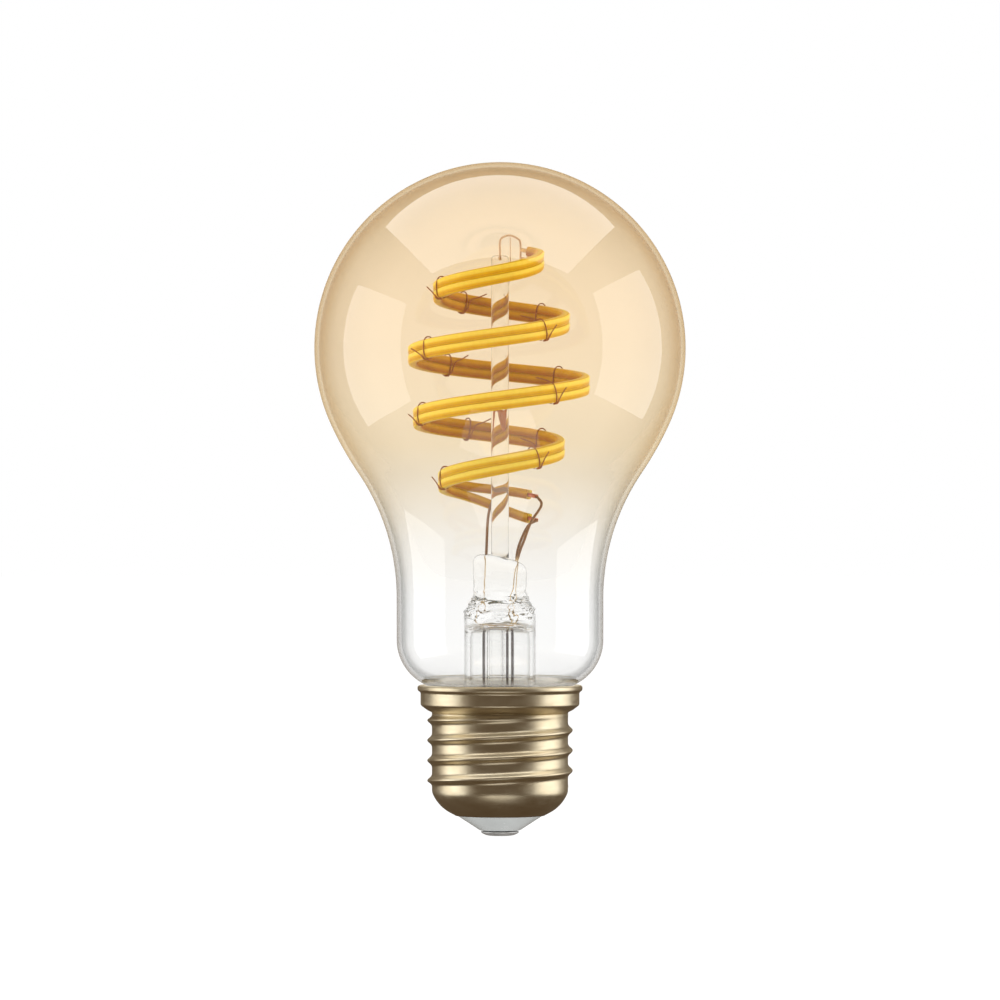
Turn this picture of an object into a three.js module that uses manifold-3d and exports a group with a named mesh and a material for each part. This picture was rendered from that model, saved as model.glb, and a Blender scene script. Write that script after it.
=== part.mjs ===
// A spiral-filament smart light bulb with an amber glass envelope and an E27 screw cap.
// Units are millimetres, +Z runs along the bulb's axis from the cap to the glass, and the origin is the
// centre of the contact's flat underside. The glass stem carries a rod, two flexible light-emitting
// filaments wound round it side by side, and their lead wires; the driver sits inside the cap.

import * as THREE from "three";
import { mergeVertices } from "three/addons/utils/BufferGeometryUtils.js";
import Module from "manifold-3d";

const wasm = await Module();
wasm.setup();

// ---------------------------------------------------------------- driving sizes

// Clearances
const GAP = 0.3; // between pieces that touch or are bonded on the real bulb
const HOLE_CLEARANCE = 0.25; // round a wire in its hole

// Screw cap
const THREAD_CREST_RADIUS = 13.1; // outside of the E27 thread
const THREAD_DEPTH = 0.85;
const THREAD_PITCH = 3.629;
const THREAD_CREST_HEIGHT = 9.9; // lowest full crest on the -X side
const THREAD_BOTTOM = 8.4;
const THREAD_TOP = 22.2;
const THREAD_FADE = 1.5;
const SHELL_WALL = 0.3;
const SHELL_LIP_RADIUS = 8;
const SHELL_LIP_HEIGHT = 3.6;
const SKIRT_STEP = 1.2; // how far the skirt stands out past the thread crests
const SKIRT_BOTTOM = 23.3;
const SKIRT_TOP = 25.9;
const RIM_STEP = 0.55; // how far the rolled rim stands out past the skirt
const CAP_HEIGHT = 27.1;
const CONTACT_RADIUS = 3.4;
const CONTACT_FLAT_RADIUS = 1.9;
const CONTACT_THICKNESS = 0.8;
const CONTACT_BOSS_RADIUS = 1.5;
const CONTACT_BOSS_HEIGHT = 1.1;
const INSULATOR_THICKNESS = 1.4;

// Glass envelope
const HEAD_RADIUS = 33.4;
const HEAD_ARC_BELOW = 25; // degrees below the widest line at which the flatter flank begins
const FLANK_RADIUS = 60;
const WAIST_ARC_RADIUS = 40;
const WAIST_RADIUS = 18.6;
const WAIST_HEIGHT = 42.8;
const SHOULDER_RADIUS = 9;
const GLASS_WALL = 0.8;
const NECK_LENGTH = 7.6; // how far the neck reaches below the rim

// Glass stem
const FLARE_TUBE_RADIUS = 6.45;
const FLARE_WALL = 1;
const FLARE_RIM_THICKNESS = 0.7;
const FLARE_HEIGHT = 8; // height of the trumpet below the straight tube
const TUBE_LENGTH = 12.4;
const PINCH_WIDTH = 9.7;
const PINCH_DEPTH = 5.4;
const PINCH_CORNER = 2.2;
const PINCH_HEIGHT = 10.6;
const PINCH_SLOPE = 0.25; // fall of the pinch's top face towards +X
const EXHAUST_RADIUS = 1.75;
const EXHAUST_WALL = 0.6;
const EXHAUST_X = -0.85;
const EXHAUST_DROP = 4; // how far the sealed tip hangs below the flare
const ROD_RADIUS = 1.6;

// Filament coil
const HEADROOM = 16.8; // from the rod's top to the crown of the glass
const COIL_BEND_RADII = [10.4, 10.9, 14.9, 15.4, 15.8, 11.8, 11.3, 7.2]; // at each half turn, going up
const COIL_FIRST_BEND = 13.8; // height above the pinch of the lowest bend
const COIL_LAST_BEND = 0.8; // depth below the rod's top of the highest bend
const COIL_START = 52; // winding angle of the lower ends, degrees from +X
const COIL_START_RADIUS = 8.6;
const COIL_END_RUN = 36; // degrees past the highest bend
const COIL_END_RADIUS = 6.5;
const COIL_END_RISE = 0.8;
const COIL_LEAN = 0.016; // rise of the coil towards +X
const STRAND_RADIUS = 0.68;
const STRAND_SPACING = 1.66;
const SPLAY_RUN = 90; // degrees over which the strands part at their lower ends
const SPLAY_UP = 0.7;
const SPLAY_DOWN = 2;

// Wires
const LEAD_RADIUS = 0.25;
const LEAD_GAP = 0.35; // from a lead to the exhaust tube it passes
const WARM_LEAD_STEP = 0.85; // how much further out the second right-hand lead stands
const HOOK_RADIUS = 0.25;
const HOOK_RISE = 4; // height of the hook's arch above the rod
const TIE_RADIUS = 0.15;
const TIE_ANGLES = [199, 305, 409, 477, 562, 667, 766, 849, 934, 1026, 1130, 1208, 1280];
const TIE_TAIL = 2.4;
const TERMINAL_LENGTH = 1.4;
const TERMINAL_WIDTH = 0.9;

// Driver
const SLEEVE_WALL = 0.6;
const BOARD_THICKNESS = 1;
const BOARD_HEIGHT = 3.8; // underside of the board above the insulator
const EDGE_MARGIN = 0.6; // from a component to the board's edge
const CAPACITOR_RADIUS = 3.1;
const CAPACITOR_HEIGHT = 7;
const INDUCTOR_RADIUS = 2.9;
const INDUCTOR_HEIGHT = 4.6;
const RADIO_BOARD = [12, 0.8, 7.4];
const RADIO_SHIELD = [8, 1.4, 4.6];
const CONTROLLER = [4.9, 3.9, 1.4];
const BRIDGE = [4.7, 3.9, 1.4];
const FILM_CAPACITOR = [6, 2.6, 2.6];
const SWITCH = [2.9, 1.3, 1];
const RESISTOR_RADIUS = 1;
const RESISTOR_LENGTH = 5.5;
const RESISTOR_PLACE = [-2.2, -4.4];

// ---------------------------------------------------------------- facets

const ROUND = 30; // facets round a large turned piece
const SMALL_ROUND = 18; // facets round a small turned piece
const WIRE_SIDES = 5;
const TIE_SIDES = 4;
const STRAND_SIDES = 6;
const STRAND_STEPS_PER_TURN = 20;

// ---------------------------------------------------------------- sizes that follow

const shellRootRadius = THREAD_CREST_RADIUS - THREAD_DEPTH;
const shellBoreRadius = shellRootRadius - SHELL_WALL;
const skirtRadius = THREAD_CREST_RADIUS + SKIRT_STEP;
const rimRadius = skirtRadius + RIM_STEP;
const skirtBoreRadius = skirtRadius - SHELL_WALL;
const insulatorTop = SHELL_LIP_HEIGHT + 2;
const boardBottom = insulatorTop + BOARD_HEIGHT;
const boardTop = boardBottom + BOARD_THICKNESS;
const sleeveRadius = shellBoreRadius - GAP;
const boardRadius = sleeveRadius - SLEEVE_WALL - GAP;

const neckRadius = shellBoreRadius - GAP - 0.1;
const neckBottom = CAP_HEIGHT - NECK_LENGTH;
const flareTop = neckBottom - GAP;
const tubeBottom = flareTop + FLARE_HEIGHT;
const tubeTop = tubeBottom + TUBE_LENGTH;
const pinchTop = tubeTop + PINCH_HEIGHT;
const sleeveTop = flareTop - FLARE_RIM_THICKNESS - GAP;

const radians = THREE.MathUtils.degToRad;
const flank = radians(HEAD_ARC_BELOW);
const flankCentreX = (HEAD_RADIUS - FLANK_RADIUS) * Math.cos(flank);
const waistCentreX = WAIST_RADIUS + WAIST_ARC_RADIUS;
const flankToWaist = FLANK_RADIUS + WAIST_ARC_RADIUS;
const flankRise = Math.sqrt(flankToWaist ** 2 - (waistCentreX - flankCentreX) ** 2);
const flankCentreZ = WAIST_HEIGHT + flankRise;
const headCentreZ = flankCentreZ + (HEAD_RADIUS - FLANK_RADIUS) * Math.sin(flank);
const flankEnd = Math.asin(flankRise / flankToWaist);
const crown = headCentreZ + HEAD_RADIUS;

// The shoulder's arc passes a clearance away from the rim's inner corner.
const shoulderCentreX = WAIST_RADIUS - SHOULDER_RADIUS;
const shoulderRise = Math.sqrt((SHOULDER_RADIUS + GAP) ** 2 - (skirtBoreRadius - shoulderCentreX) ** 2);
const shoulderCentreZ = CAP_HEIGHT + shoulderRise;

const rodBottom = pinchTop + PINCH_SLOPE * ROD_RADIUS + GAP;
const rodTop = crown - HEADROOM;

const bendCount = COIL_BEND_RADII.length;
const firstBendZ = pinchTop + COIL_FIRST_BEND;
const halfPitch = (rodTop - COIL_LAST_BEND - firstBendZ) / (bendCount - 1);
const coilEnd = bendCount * 180 + COIL_END_RUN;

// ---------------------------------------------------------------- materials

function finish(color, roughness, metalness, opacity = 1) {
  return new THREE.MeshStandardMaterial({ color, roughness, metalness, opacity, transparent: opacity < 1 });
}

const materials = {
  amberGlass: finish(0xe0b878, 0.05, 0, 0.35),
  clearGlass: finish(0xeef1f1, 0.05, 0, 0.4),
  brass: finish(0xb39a6b, 0.35, 1),
  plate: finish(0xb9bab8, 0.35, 1),
  insulator: finish(0xc9cac9, 0.35, 0),
  cement: finish(0xd8d2c2, 0.9, 0),
  phosphor: finish(0xe3b52c, 0.55, 0),
  leadWire: finish(0x7a5a44, 0.35, 1),
  tieWire: finish(0x8a5a3c, 0.35, 1),
  terminal: finish(0xb06a4a, 0.4, 1),
  board: finish(0x1f5a3a, 0.5, 0),
  sleeve: finish(0xe8e6df, 0.5, 0),
  can: finish(0xc4c6c8, 0.3, 1),
  blackPlastic: finish(0x202124, 0.5, 0),
  filmYellow: finish(0xd9b23a, 0.45, 0),
  ferrite: finish(0x3a3b3d, 0.7, 0),
  copper: finish(0xb56a3a, 0.35, 1),
  capacitorSleeve: finish(0x23303c, 0.4, 0),
  resistorBody: finish(0x9db7a5, 0.5, 0),
};

// ---------------------------------------------------------------- geometry helpers

const vec = (x, y, z) => new THREE.Vector3(x, y, z);

function mergedIndices(geometry) {
  const bare = geometry.clone();
  bare.deleteAttribute("normal");
  bare.deleteAttribute("uv");
  return mergeVertices(bare, 1e-5);
}

function signedVolume(geometry) {
  const position = geometry.attributes.position;
  const index = geometry.index;
  const corners = [vec(0, 0, 0), vec(0, 0, 0), vec(0, 0, 0)];
  let total = 0;
  for (let face = 0; face < index.count; face += 3) {
    corners.forEach((corner, i) => corner.fromBufferAttribute(position, index.getX(face + i)));
    total += corners[0].dot(corners[1].clone().cross(corners[2])) / 6;
  }
  return total;
}

// Merges a closed shape's shared vertices, drops faces of no area and points the rest outwards.
function closed(geometry) {
  const merged = mergedIndices(geometry);
  const source = merged.index;
  const kept = [];
  for (let face = 0; face < source.count; face += 3) {
    const [a, b, c] = [source.getX(face), source.getX(face + 1), source.getX(face + 2)];
    if (a !== b && b !== c && c !== a) kept.push(a, b, c);
  }
  merged.setIndex(kept);
  if (signedVolume(merged) < 0) merged.setIndex(kept.reverse());
  return merged;
}

// Turns a profile of [radius, height] pairs about the Z axis. The profile starts and ends on the axis,
// or closes on itself.
function turned(profile, facets = ROUND) {
  const points = profile.map(([radius, height]) => new THREE.Vector2(radius, height));
  return closed(new THREE.LatheGeometry(points, facets).rotateX(Math.PI / 2));
}

function ring(profile, facets = ROUND) {
  return turned([...profile, profile[0]], facets);
}

// A round bar along a curve, with closed ends.
function wire(curve, radius, steps, sides = WIRE_SIDES) {
  const section = new THREE.Shape();
  for (let side = 0; side < sides; side += 1) {
    const angle = (side / sides) * Math.PI * 2;
    const method = side === 0 ? "moveTo" : "lineTo";
    section[method](radius * Math.cos(angle), radius * Math.sin(angle));
  }
  section.closePath();
  return closed(new THREE.ExtrudeGeometry(section, { steps, extrudePath: curve, bevelEnabled: false }));
}

function smoothWire(points, radius, steps, sides) {
  return wire(new THREE.CatmullRomCurve3(points, false, "centripetal"), radius, steps, sides);
}

function straightWire(from, to, radius, sides) {
  return wire(new THREE.LineCurve3(from, to), radius, 1, sides);
}

function block([width, depth, height], centre) {
  return closed(new THREE.BoxGeometry(width, depth, height).translate(centre.x, centre.y, centre.z));
}

function solid(geometry) {
  const merged = mergedIndices(geometry);
  const vertProperties = new Float32Array(merged.attributes.position.array);
  const triVerts = new Uint32Array(merged.index.array);
  return new wasm.Manifold(new wasm.Mesh({ numProp: 3, vertProperties, triVerts }));
}

function fromSolid(manifold) {
  const mesh = manifold.getMesh();
  const geometry = new THREE.BufferGeometry();
  geometry.setAttribute("position", new THREE.BufferAttribute(new Float32Array(mesh.vertProperties), 3));
  geometry.setIndex(new THREE.BufferAttribute(new Uint32Array(mesh.triVerts), 1));
  return geometry;
}

// Points on an arc about [centreX, centreZ], from one angle to another in degrees, both ends included.
function arc([centreX, centreZ], radius, from, to, steps) {
  return Array.from({ length: steps + 1 }, (_, i) => {
    const angle = radians(from + ((to - from) * i) / steps);
    return [centreX + radius * Math.cos(angle), centreZ + radius * Math.sin(angle)];
  });
}

const smooth = (t) => t * t * (3 - 2 * t);
const clamp01 = (t) => Math.min(1, Math.max(0, t));

const bulb = new THREE.Group();

function add(name, geometry, material) {
  geometry.computeVertexNormals();
  const mesh = new THREE.Mesh(geometry, material);
  mesh.name = name;
  bulb.add(mesh);
  return mesh;
}

// ---------------------------------------------------------------- screw cap

// The rolled shell is one sheet: the inside follows the outside a wall's thickness in. Each row is a
// [radius, height] pair, and the thread moves a row in and out as it goes round.
function threadDepthAt(height, turn) {
  const fadeIn = clamp01((height - THREAD_BOTTOM) / THREAD_FADE);
  const fadeOut = clamp01((THREAD_TOP - height) / THREAD_FADE);
  const phase = (height - THREAD_CREST_HEIGHT) / THREAD_PITCH - (turn - 0.5);
  const crest = 0.5 + 0.5 * Math.cos(2 * Math.PI * phase);
  return smooth(fadeIn) * smooth(fadeOut) * crest * THREAD_DEPTH;
}

function capShell() {
  const threadRows = Math.round((THREAD_TOP - THREAD_BOTTOM) / (THREAD_PITCH / 4));
  const outside = [
    [SHELL_LIP_RADIUS, SHELL_LIP_HEIGHT],
    [SHELL_LIP_RADIUS + 0.43 * (shellRootRadius - SHELL_LIP_RADIUS), 4.7],
    [SHELL_LIP_RADIUS + 0.77 * (shellRootRadius - SHELL_LIP_RADIUS), 6.1],
    [shellRootRadius - 0.12, 7.5],
  ];
  for (let row = 0; row <= threadRows; row += 1) {
    outside.push([shellRootRadius, THREAD_BOTTOM + ((THREAD_TOP - THREAD_BOTTOM) * row) / threadRows]);
  }
  outside.push(
    [THREAD_CREST_RADIUS, THREAD_TOP + 0.6],
    [skirtRadius, SKIRT_BOTTOM],
    [skirtRadius, SKIRT_TOP],
    [rimRadius, SKIRT_TOP + 0.3],
    [rimRadius, CAP_HEIGHT - 0.25],
    [rimRadius - 0.3, CAP_HEIGHT],
  );
  const inside = outside
    .filter(([, height]) => height < SKIRT_TOP + 0.1)
    .map(([radius, height]) => [radius - SHELL_WALL, height]);
  inside[0] = [SHELL_LIP_RADIUS - SHELL_WALL, SHELL_LIP_HEIGHT + 0.15];
  inside.push([skirtBoreRadius, CAP_HEIGHT]);
  const rows = [...outside, ...inside.reverse()];

  const positions = [];
  for (const [radius, height] of rows) {
    for (let step = 0; step < ROUND; step += 1) {
      const turn = step / ROUND;
      const threaded = height > THREAD_BOTTOM && height < THREAD_TOP;
      const reach = radius + (threaded ? threadDepthAt(height, turn) : 0);
      const angle = turn * Math.PI * 2;
      positions.push(reach * Math.cos(angle), reach * Math.sin(angle), height);
    }
  }
  const indices = [];
  rows.forEach((_, row) => {
    const next = (row + 1) % rows.length;
    for (let step = 0; step < ROUND; step += 1) {
      const along = (step + 1) % ROUND;
      const [a, b] = [row * ROUND + step, row * ROUND + along];
      const [c, d] = [next * ROUND + along, next * ROUND + step];
      indices.push(a, b, c, a, c, d);
    }
  });
  const geometry = new THREE.BufferGeometry();
  geometry.setAttribute("position", new THREE.Float32BufferAttribute(positions, 3));
  geometry.setIndex(indices);
  return closed(geometry);
}

add("cap_shell", capShell(), materials.brass);

// The contact is a stepped disc: a flat underside, a bevelled edge and a boss that the insulator holds.
add(
  "centre_contact",
  turned(
    [
      [0, 0],
      [CONTACT_FLAT_RADIUS, 0],
      [CONTACT_RADIUS, CONTACT_THICKNESS * 0.6],
      [CONTACT_RADIUS, CONTACT_THICKNESS],
      [CONTACT_BOSS_RADIUS, CONTACT_THICKNESS],
      [CONTACT_BOSS_RADIUS, CONTACT_THICKNESS + CONTACT_BOSS_HEIGHT],
      [0, CONTACT_THICKNESS + CONTACT_BOSS_HEIGHT],
    ],
    SMALL_ROUND,
  ),
  materials.plate,
);

// The insulator is a shallow cone that closes the shell's lower end, with a hole for the contact's boss.
const insulatorBottom = CONTACT_THICKNESS + GAP;
const insulatorHole = CONTACT_BOSS_RADIUS + GAP;
const insulatorEdge = SHELL_LIP_RADIUS - SHELL_WALL - GAP;
add(
  "cap_insulator",
  ring([
    [insulatorHole, insulatorBottom],
    [CONTACT_RADIUS + GAP, insulatorBottom],
    [insulatorEdge, SHELL_LIP_HEIGHT - 0.3],
    [insulatorEdge, SHELL_LIP_HEIGHT + 0.75],
    [insulatorEdge + 1, SHELL_LIP_HEIGHT + 1.6],
    [insulatorEdge + 1, insulatorTop],
    [insulatorHole, insulatorTop],
    [insulatorHole, insulatorTop - INSULATOR_THICKNESS],
  ]),
  materials.insulator,
);

// Cement fills the ring between the glass neck and the skirt.
const cementBottom = SKIRT_BOTTOM + GAP;
const cementTop = CAP_HEIGHT - 1.8;
add(
  "basing_cement",
  ring([
    [neckRadius + GAP, cementBottom],
    [skirtBoreRadius - GAP, cementBottom],
    [skirtBoreRadius - GAP, cementTop],
    [neckRadius + GAP, cementTop],
  ]),
  materials.cement,
);

// ---------------------------------------------------------------- glass envelope

// One chain of arcs from the neck's open edge to the crown; offset moves it inwards for the inner wall.
function envelopeOutline(offset) {
  const degrees = THREE.MathUtils.radToDeg;
  const reach = SHOULDER_RADIUS - offset;
  const neck = neckRadius - offset;
  const turnIn = -degrees(Math.acos((neck + 0.6 - shoulderCentreX) / reach));
  const shoulderEnd = shoulderCentreZ + reach * Math.sin(radians(turnIn));
  return [
    [neck, neckBottom],
    [neck, shoulderEnd - 0.7],
    ...arc([shoulderCentreX, shoulderCentreZ], reach, turnIn, 0, 5),
    ...arc([waistCentreX, WAIST_HEIGHT], WAIST_ARC_RADIUS + offset, 180, 180 - degrees(flankEnd), 4),
    ...arc([flankCentreX, flankCentreZ], FLANK_RADIUS - offset, -degrees(flankEnd), -HEAD_ARC_BELOW, 2).slice(1),
    ...arc([0, headCentreZ], HEAD_RADIUS - offset, -HEAD_ARC_BELOW, 90, 10).slice(1, -1),
    [0, crown - offset],
  ];
}

add(
  "glass_envelope",
  turned([...envelopeOutline(0).reverse(), ...envelopeOutline(GLASS_WALL)]),
  materials.amberGlass,
);

// ---------------------------------------------------------------- lead wire routes

// Below the pinch the leads hang round the exhaust tube; above it they stand either side of the rod.
function besideExhaust(angle, further = 0) {
  const reach = EXHAUST_RADIUS + LEAD_GAP + LEAD_RADIUS + further;
  return vec(EXHAUST_X + reach * Math.cos(radians(angle)), reach * Math.sin(radians(angle)), 0);
}

const besideRod = ROD_RADIUS + LEAD_RADIUS;
const pinchLeads = {
  common: { below: besideExhaust(155), above: vec(-besideRod - 0.6, 0.6, 0) },
  warm: { below: besideExhaust(-17, WARM_LEAD_STEP), above: vec(besideRod + 1.4, -0.9, 0) },
  cool: { below: besideExhaust(22), above: vec(besideRod + 1.1, 0.9, 0) },
};
const channelBottom = tubeTop - FLARE_WALL - 1;
const leadFoot = boardBottom - 0.6;

// The pinch's top is level on its -X side and falls away towards +X.
function pinchSurface(x) {
  return pinchTop - PINCH_SLOPE * Math.max(x, -PINCH_CORNER);
}

// The straight stretch of a lead inside the pinch, from the hollow's ceiling to just above its top.
function pinchRun({ below, above }) {
  return [
    vec(below.x, below.y, channelBottom),
    vec(above.x, above.y, pinchSurface(above.x) + 0.6),
  ];
}

// ---------------------------------------------------------------- glass stem

function pinchBlock() {
  const [w, d, c] = [PINCH_WIDTH / 2, PINCH_DEPTH / 2, PINCH_CORNER];
  const outline = new THREE.Shape();
  outline.moveTo(-w + c, -d);
  outline.lineTo(w - c, -d);
  outline.absarc(w - c, -d + c, c, -Math.PI / 2, 0);
  outline.absarc(w - c, d - c, c, 0, Math.PI / 2);
  outline.absarc(-w + c, d - c, c, Math.PI / 2, Math.PI);
  outline.absarc(-w + c, -d + c, c, Math.PI, 1.5 * Math.PI);
  const height = PINCH_HEIGHT + FLARE_WALL / 2;
  const geometry = new THREE.ExtrudeGeometry(outline, { depth: height, bevelEnabled: false, curveSegments: 4 });
  const position = geometry.attributes.position;
  for (let i = 0; i < position.count; i += 1) {
    const onTop = position.getZ(i) > height / 2;
    position.setZ(i, onTop ? pinchSurface(position.getX(i)) : tubeTop - FLARE_WALL / 2);
  }
  return closed(geometry);
}

function stemFlare() {
  const inner = FLARE_TUBE_RADIUS - FLARE_WALL;
  const rim = neckRadius - 0.1;
  const throat = neckRadius - GLASS_WALL - GAP;
  const trumpet = (offset) =>
    Array.from({ length: 6 }, (_, i) => {
      const t = i / 5;
      const spread = (throat - FLARE_TUBE_RADIUS) * (1 - t) ** 2.2;
      return [FLARE_TUBE_RADIUS + spread - offset, flareTop + FLARE_HEIGHT * t];
    });
  const body = turned(
    [
      [0, tubeTop - FLARE_WALL],
      [inner * 0.8, tubeTop - FLARE_WALL * 1.4],
      [inner, tubeTop - FLARE_WALL * 2.4],
      ...trumpet(FLARE_WALL).reverse().slice(0, -1),
      [throat - FLARE_WALL, flareTop - FLARE_RIM_THICKNESS],
      [rim, flareTop - FLARE_RIM_THICKNESS],
      [rim, flareTop],
      ...trumpet(0),
      [FLARE_TUBE_RADIUS, tubeTop - FLARE_WALL * 1.6],
      [FLARE_TUBE_RADIUS * 0.86, tubeTop],
      [FLARE_TUBE_RADIUS * 0.5, tubeTop + FLARE_WALL * 0.8],
      [0, tubeTop + FLARE_WALL],
    ],
    24,
  );
  let stem = solid(body).add(solid(pinchBlock()));
  for (const lead of Object.values(pinchLeads)) {
    const [from, to] = pinchRun(lead);
    const along = to.clone().sub(from).normalize();
    const channel = straightWire(
      from.clone().addScaledVector(along, -0.5),
      to.clone().addScaledVector(along, 1),
      LEAD_RADIUS + GAP,
      8,
    );
    stem = stem.subtract(solid(channel));
  }
  return fromSolid(stem);
}

add("stem_flare", stemFlare(), materials.clearGlass);

// The exhaust tube hangs from the pinch inside the flare; its lower tip was melted shut.
const exhaustTip = flareTop - EXHAUST_DROP;
const exhaustTop = tubeTop - FLARE_WALL * 1.4 - GAP;
add(
  "exhaust_tube",
  turned(
    [
      [0, exhaustTip],
      [EXHAUST_RADIUS * 0.6, exhaustTip + 0.6],
      [EXHAUST_RADIUS, exhaustTip + 1.9],
      [EXHAUST_RADIUS, exhaustTop],
      [EXHAUST_RADIUS - EXHAUST_WALL, exhaustTop],
      [EXHAUST_RADIUS - EXHAUST_WALL, exhaustTip + 2],
      [0, exhaustTip + 1.2],
    ],
    12,
  ).translate(EXHAUST_X, 0, 0),
  materials.clearGlass,
);

add(
  "support_rod",
  turned(
    [
      [0, rodBottom],
      [ROD_RADIUS, rodBottom],
      [ROD_RADIUS, rodTop - 0.3],
      [ROD_RADIUS - 0.3, rodTop],
      [0, rodTop],
    ],
    SMALL_ROUND,
  ),
  materials.clearGlass,
);

// ---------------------------------------------------------------- filament coil

function coilRadius(angle) {
  if (angle < 180) {
    const t = smooth((angle - COIL_START) / (180 - COIL_START));
    return COIL_START_RADIUS + (COIL_BEND_RADII[0] - COIL_START_RADIUS) * t;
  }
  const bend = Math.min(Math.floor(angle / 180), bendCount);
  const from = COIL_BEND_RADII[bend - 1];
  if (bend === bendCount) {
    const t = clamp01((angle - bend * 180) / COIL_END_RUN);
    return from + (COIL_END_RADIUS - from) * t;
  }
  return from + (COIL_BEND_RADII[bend] - from) * smooth((angle - bend * 180) / 180);
}

// The middle of the two strands at a winding angle, counter-clockwise seen from above.
function coilPoint(angle) {
  const radius = coilRadius(angle);
  const x = radius * Math.cos(radians(angle));
  const pastEnd = Math.max(0, angle - bendCount * 180);
  const rise = ((angle - pastEnd) / 180 - 1) * halfPitch + (pastEnd / COIL_END_RUN) * COIL_END_RISE;
  return vec(x, radius * Math.sin(radians(angle)), firstBendZ + rise + COIL_LEAN * x);
}

// side is +1 for the upper strand and -1 for the lower one.
function strandPoint(angle, side) {
  const splay = smooth(clamp01((COIL_START + SPLAY_RUN - angle) / SPLAY_RUN));
  const part = side > 0 ? SPLAY_UP * splay : -SPLAY_DOWN * splay;
  return coilPoint(angle).add(vec(0, 0, (side * STRAND_SPACING) / 2 + part));
}

class StrandCurve extends THREE.Curve {
  constructor(side) {
    super();
    this.side = side;
  }

  getPoint(t, target = new THREE.Vector3()) {
    return target.copy(strandPoint(COIL_START + (coilEnd - COIL_START) * t, this.side));
  }

  getPointAt(u, target) {
    return this.getPoint(u, target);
  }

  getTangentAt(u, target) {
    return this.getTangent(u, target);
  }
}

const strands = { warm: 1, cool: -1 };
const strandSteps = Math.round(((coilEnd - COIL_START) / 360) * STRAND_STEPS_PER_TURN);
for (const [name, side] of Object.entries(strands)) {
  add(`${name}_filament`, wire(new StrandCurve(side), STRAND_RADIUS, strandSteps, STRAND_SIDES), materials.phosphor);
}

// ---------------------------------------------------------------- filament terminals

// A terminal is a small flat tab beyond the end of a strand, in line with it.
function terminalFrame(side, atStart) {
  const end = atStart ? COIL_START : coilEnd;
  const inner = atStart ? end + 2 : end - 2;
  const tip = strandPoint(end, side);
  const along = tip.clone().sub(strandPoint(inner, side)).normalize();
  return { tip, along, far: tip.clone().addScaledVector(along, GAP + TERMINAL_LENGTH) };
}

function terminal({ tip, along }) {
  const tab = new THREE.BoxGeometry(TERMINAL_LENGTH, TERMINAL_WIDTH, TERMINAL_WIDTH * 0.7);
  const turn = new THREE.Quaternion().setFromUnitVectors(vec(1, 0, 0), along);
  const centre = tip.clone().addScaledVector(along, GAP + TERMINAL_LENGTH / 2);
  return closed(tab.applyQuaternion(turn).translate(centre.x, centre.y, centre.z));
}

const terminals = {};
for (const [name, side] of Object.entries(strands)) {
  terminals[name] = { lower: terminalFrame(side, true), upper: terminalFrame(side, false) };
  add(`${name}_terminal_lower`, terminal(terminals[name].lower), materials.terminal);
  add(`${name}_terminal_upper`, terminal(terminals[name].upper), materials.terminal);
}

// ---------------------------------------------------------------- hook and lead wires

// The hook stands in the top of the rod and arches over to the filaments' upper ends, which are joined
// to its long leg one above the other.
const upperEnds = [terminals.warm.upper, terminals.cool.upper];
const hookLeg = upperEnds[0].far.clone().addScaledVector(upperEnds[0].along, GAP + HOOK_RADIUS);
const hookFoot = upperEnds[1].tip.z - TERMINAL_WIDTH / 2;
const hookCrown = rodTop + HOOK_RISE - HOOK_RADIUS;
const hookMiddle = vec(hookLeg.x / 2, hookLeg.y / 2, hookCrown);
add(
  "top_hook",
  smoothWire(
    [
      vec(0, 0, rodTop + GAP),
      vec(0, 0, hookCrown - 1.2),
      vec(hookLeg.x * 0.15, hookLeg.y * 0.15, hookCrown - 0.4),
      hookMiddle,
      vec(hookLeg.x * 0.87, hookLeg.y * 0.87, hookCrown - 0.5),
      vec(hookLeg.x, hookLeg.y, hookCrown - 1.4),
      vec(hookLeg.x, hookLeg.y, hookFoot),
    ],
    HOOK_RADIUS,
    16,
  ),
  materials.leadWire,
);

// Each inner lead starts at the board, passes through the pinch and goes on along the given points.
function leadWire(lead, onwards, steps) {
  const [low, high] = pinchRun(lead);
  const points = [
    vec(lead.below.x, lead.below.y, leadFoot),
    vec(lead.below.x, lead.below.y, (leadFoot + channelBottom) / 2),
    vec(lead.below.x, lead.below.y, channelBottom - 1.5),
    low,
    low.clone().lerp(high, 0.5),
    high,
    ...onwards,
  ];
  return smoothWire(points, LEAD_RADIUS, steps);
}

// The common lead climbs behind the rod, weaving a little to either side, and meets the hook's arch.
const behindRod = ROD_RADIUS + GAP + LEAD_RADIUS;
const climb = (fraction) => firstBendZ + (rodTop - firstBendZ) * fraction;
add(
  "common_lead",
  leadWire(
    pinchLeads.common,
    [
      vec(-2.1, 1.2, pinchTop + 7.5),
      vec(-0.6, behindRod, climb(-0.03)),
      vec(0.9, behindRod, climb(0.03)),
      vec(0.1, behindRod, climb(0.23)),
      vec(-0.9, behindRod, climb(0.48)),
      vec(0.2, behindRod, climb(0.72)),
      vec(hookMiddle.x, behindRod, climb(0.9)),
      vec(hookMiddle.x, Math.max(behindRod, hookMiddle.y), rodTop - 0.5),
      vec(hookMiddle.x, hookMiddle.y, hookCrown - 2 * HOOK_RADIUS - GAP),
    ],
    34,
  ),
  materials.leadWire,
);

function leadEnd(name) {
  const { far, along } = terminals[name].lower;
  return far.clone().addScaledVector(along, GAP + LEAD_RADIUS);
}

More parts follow.
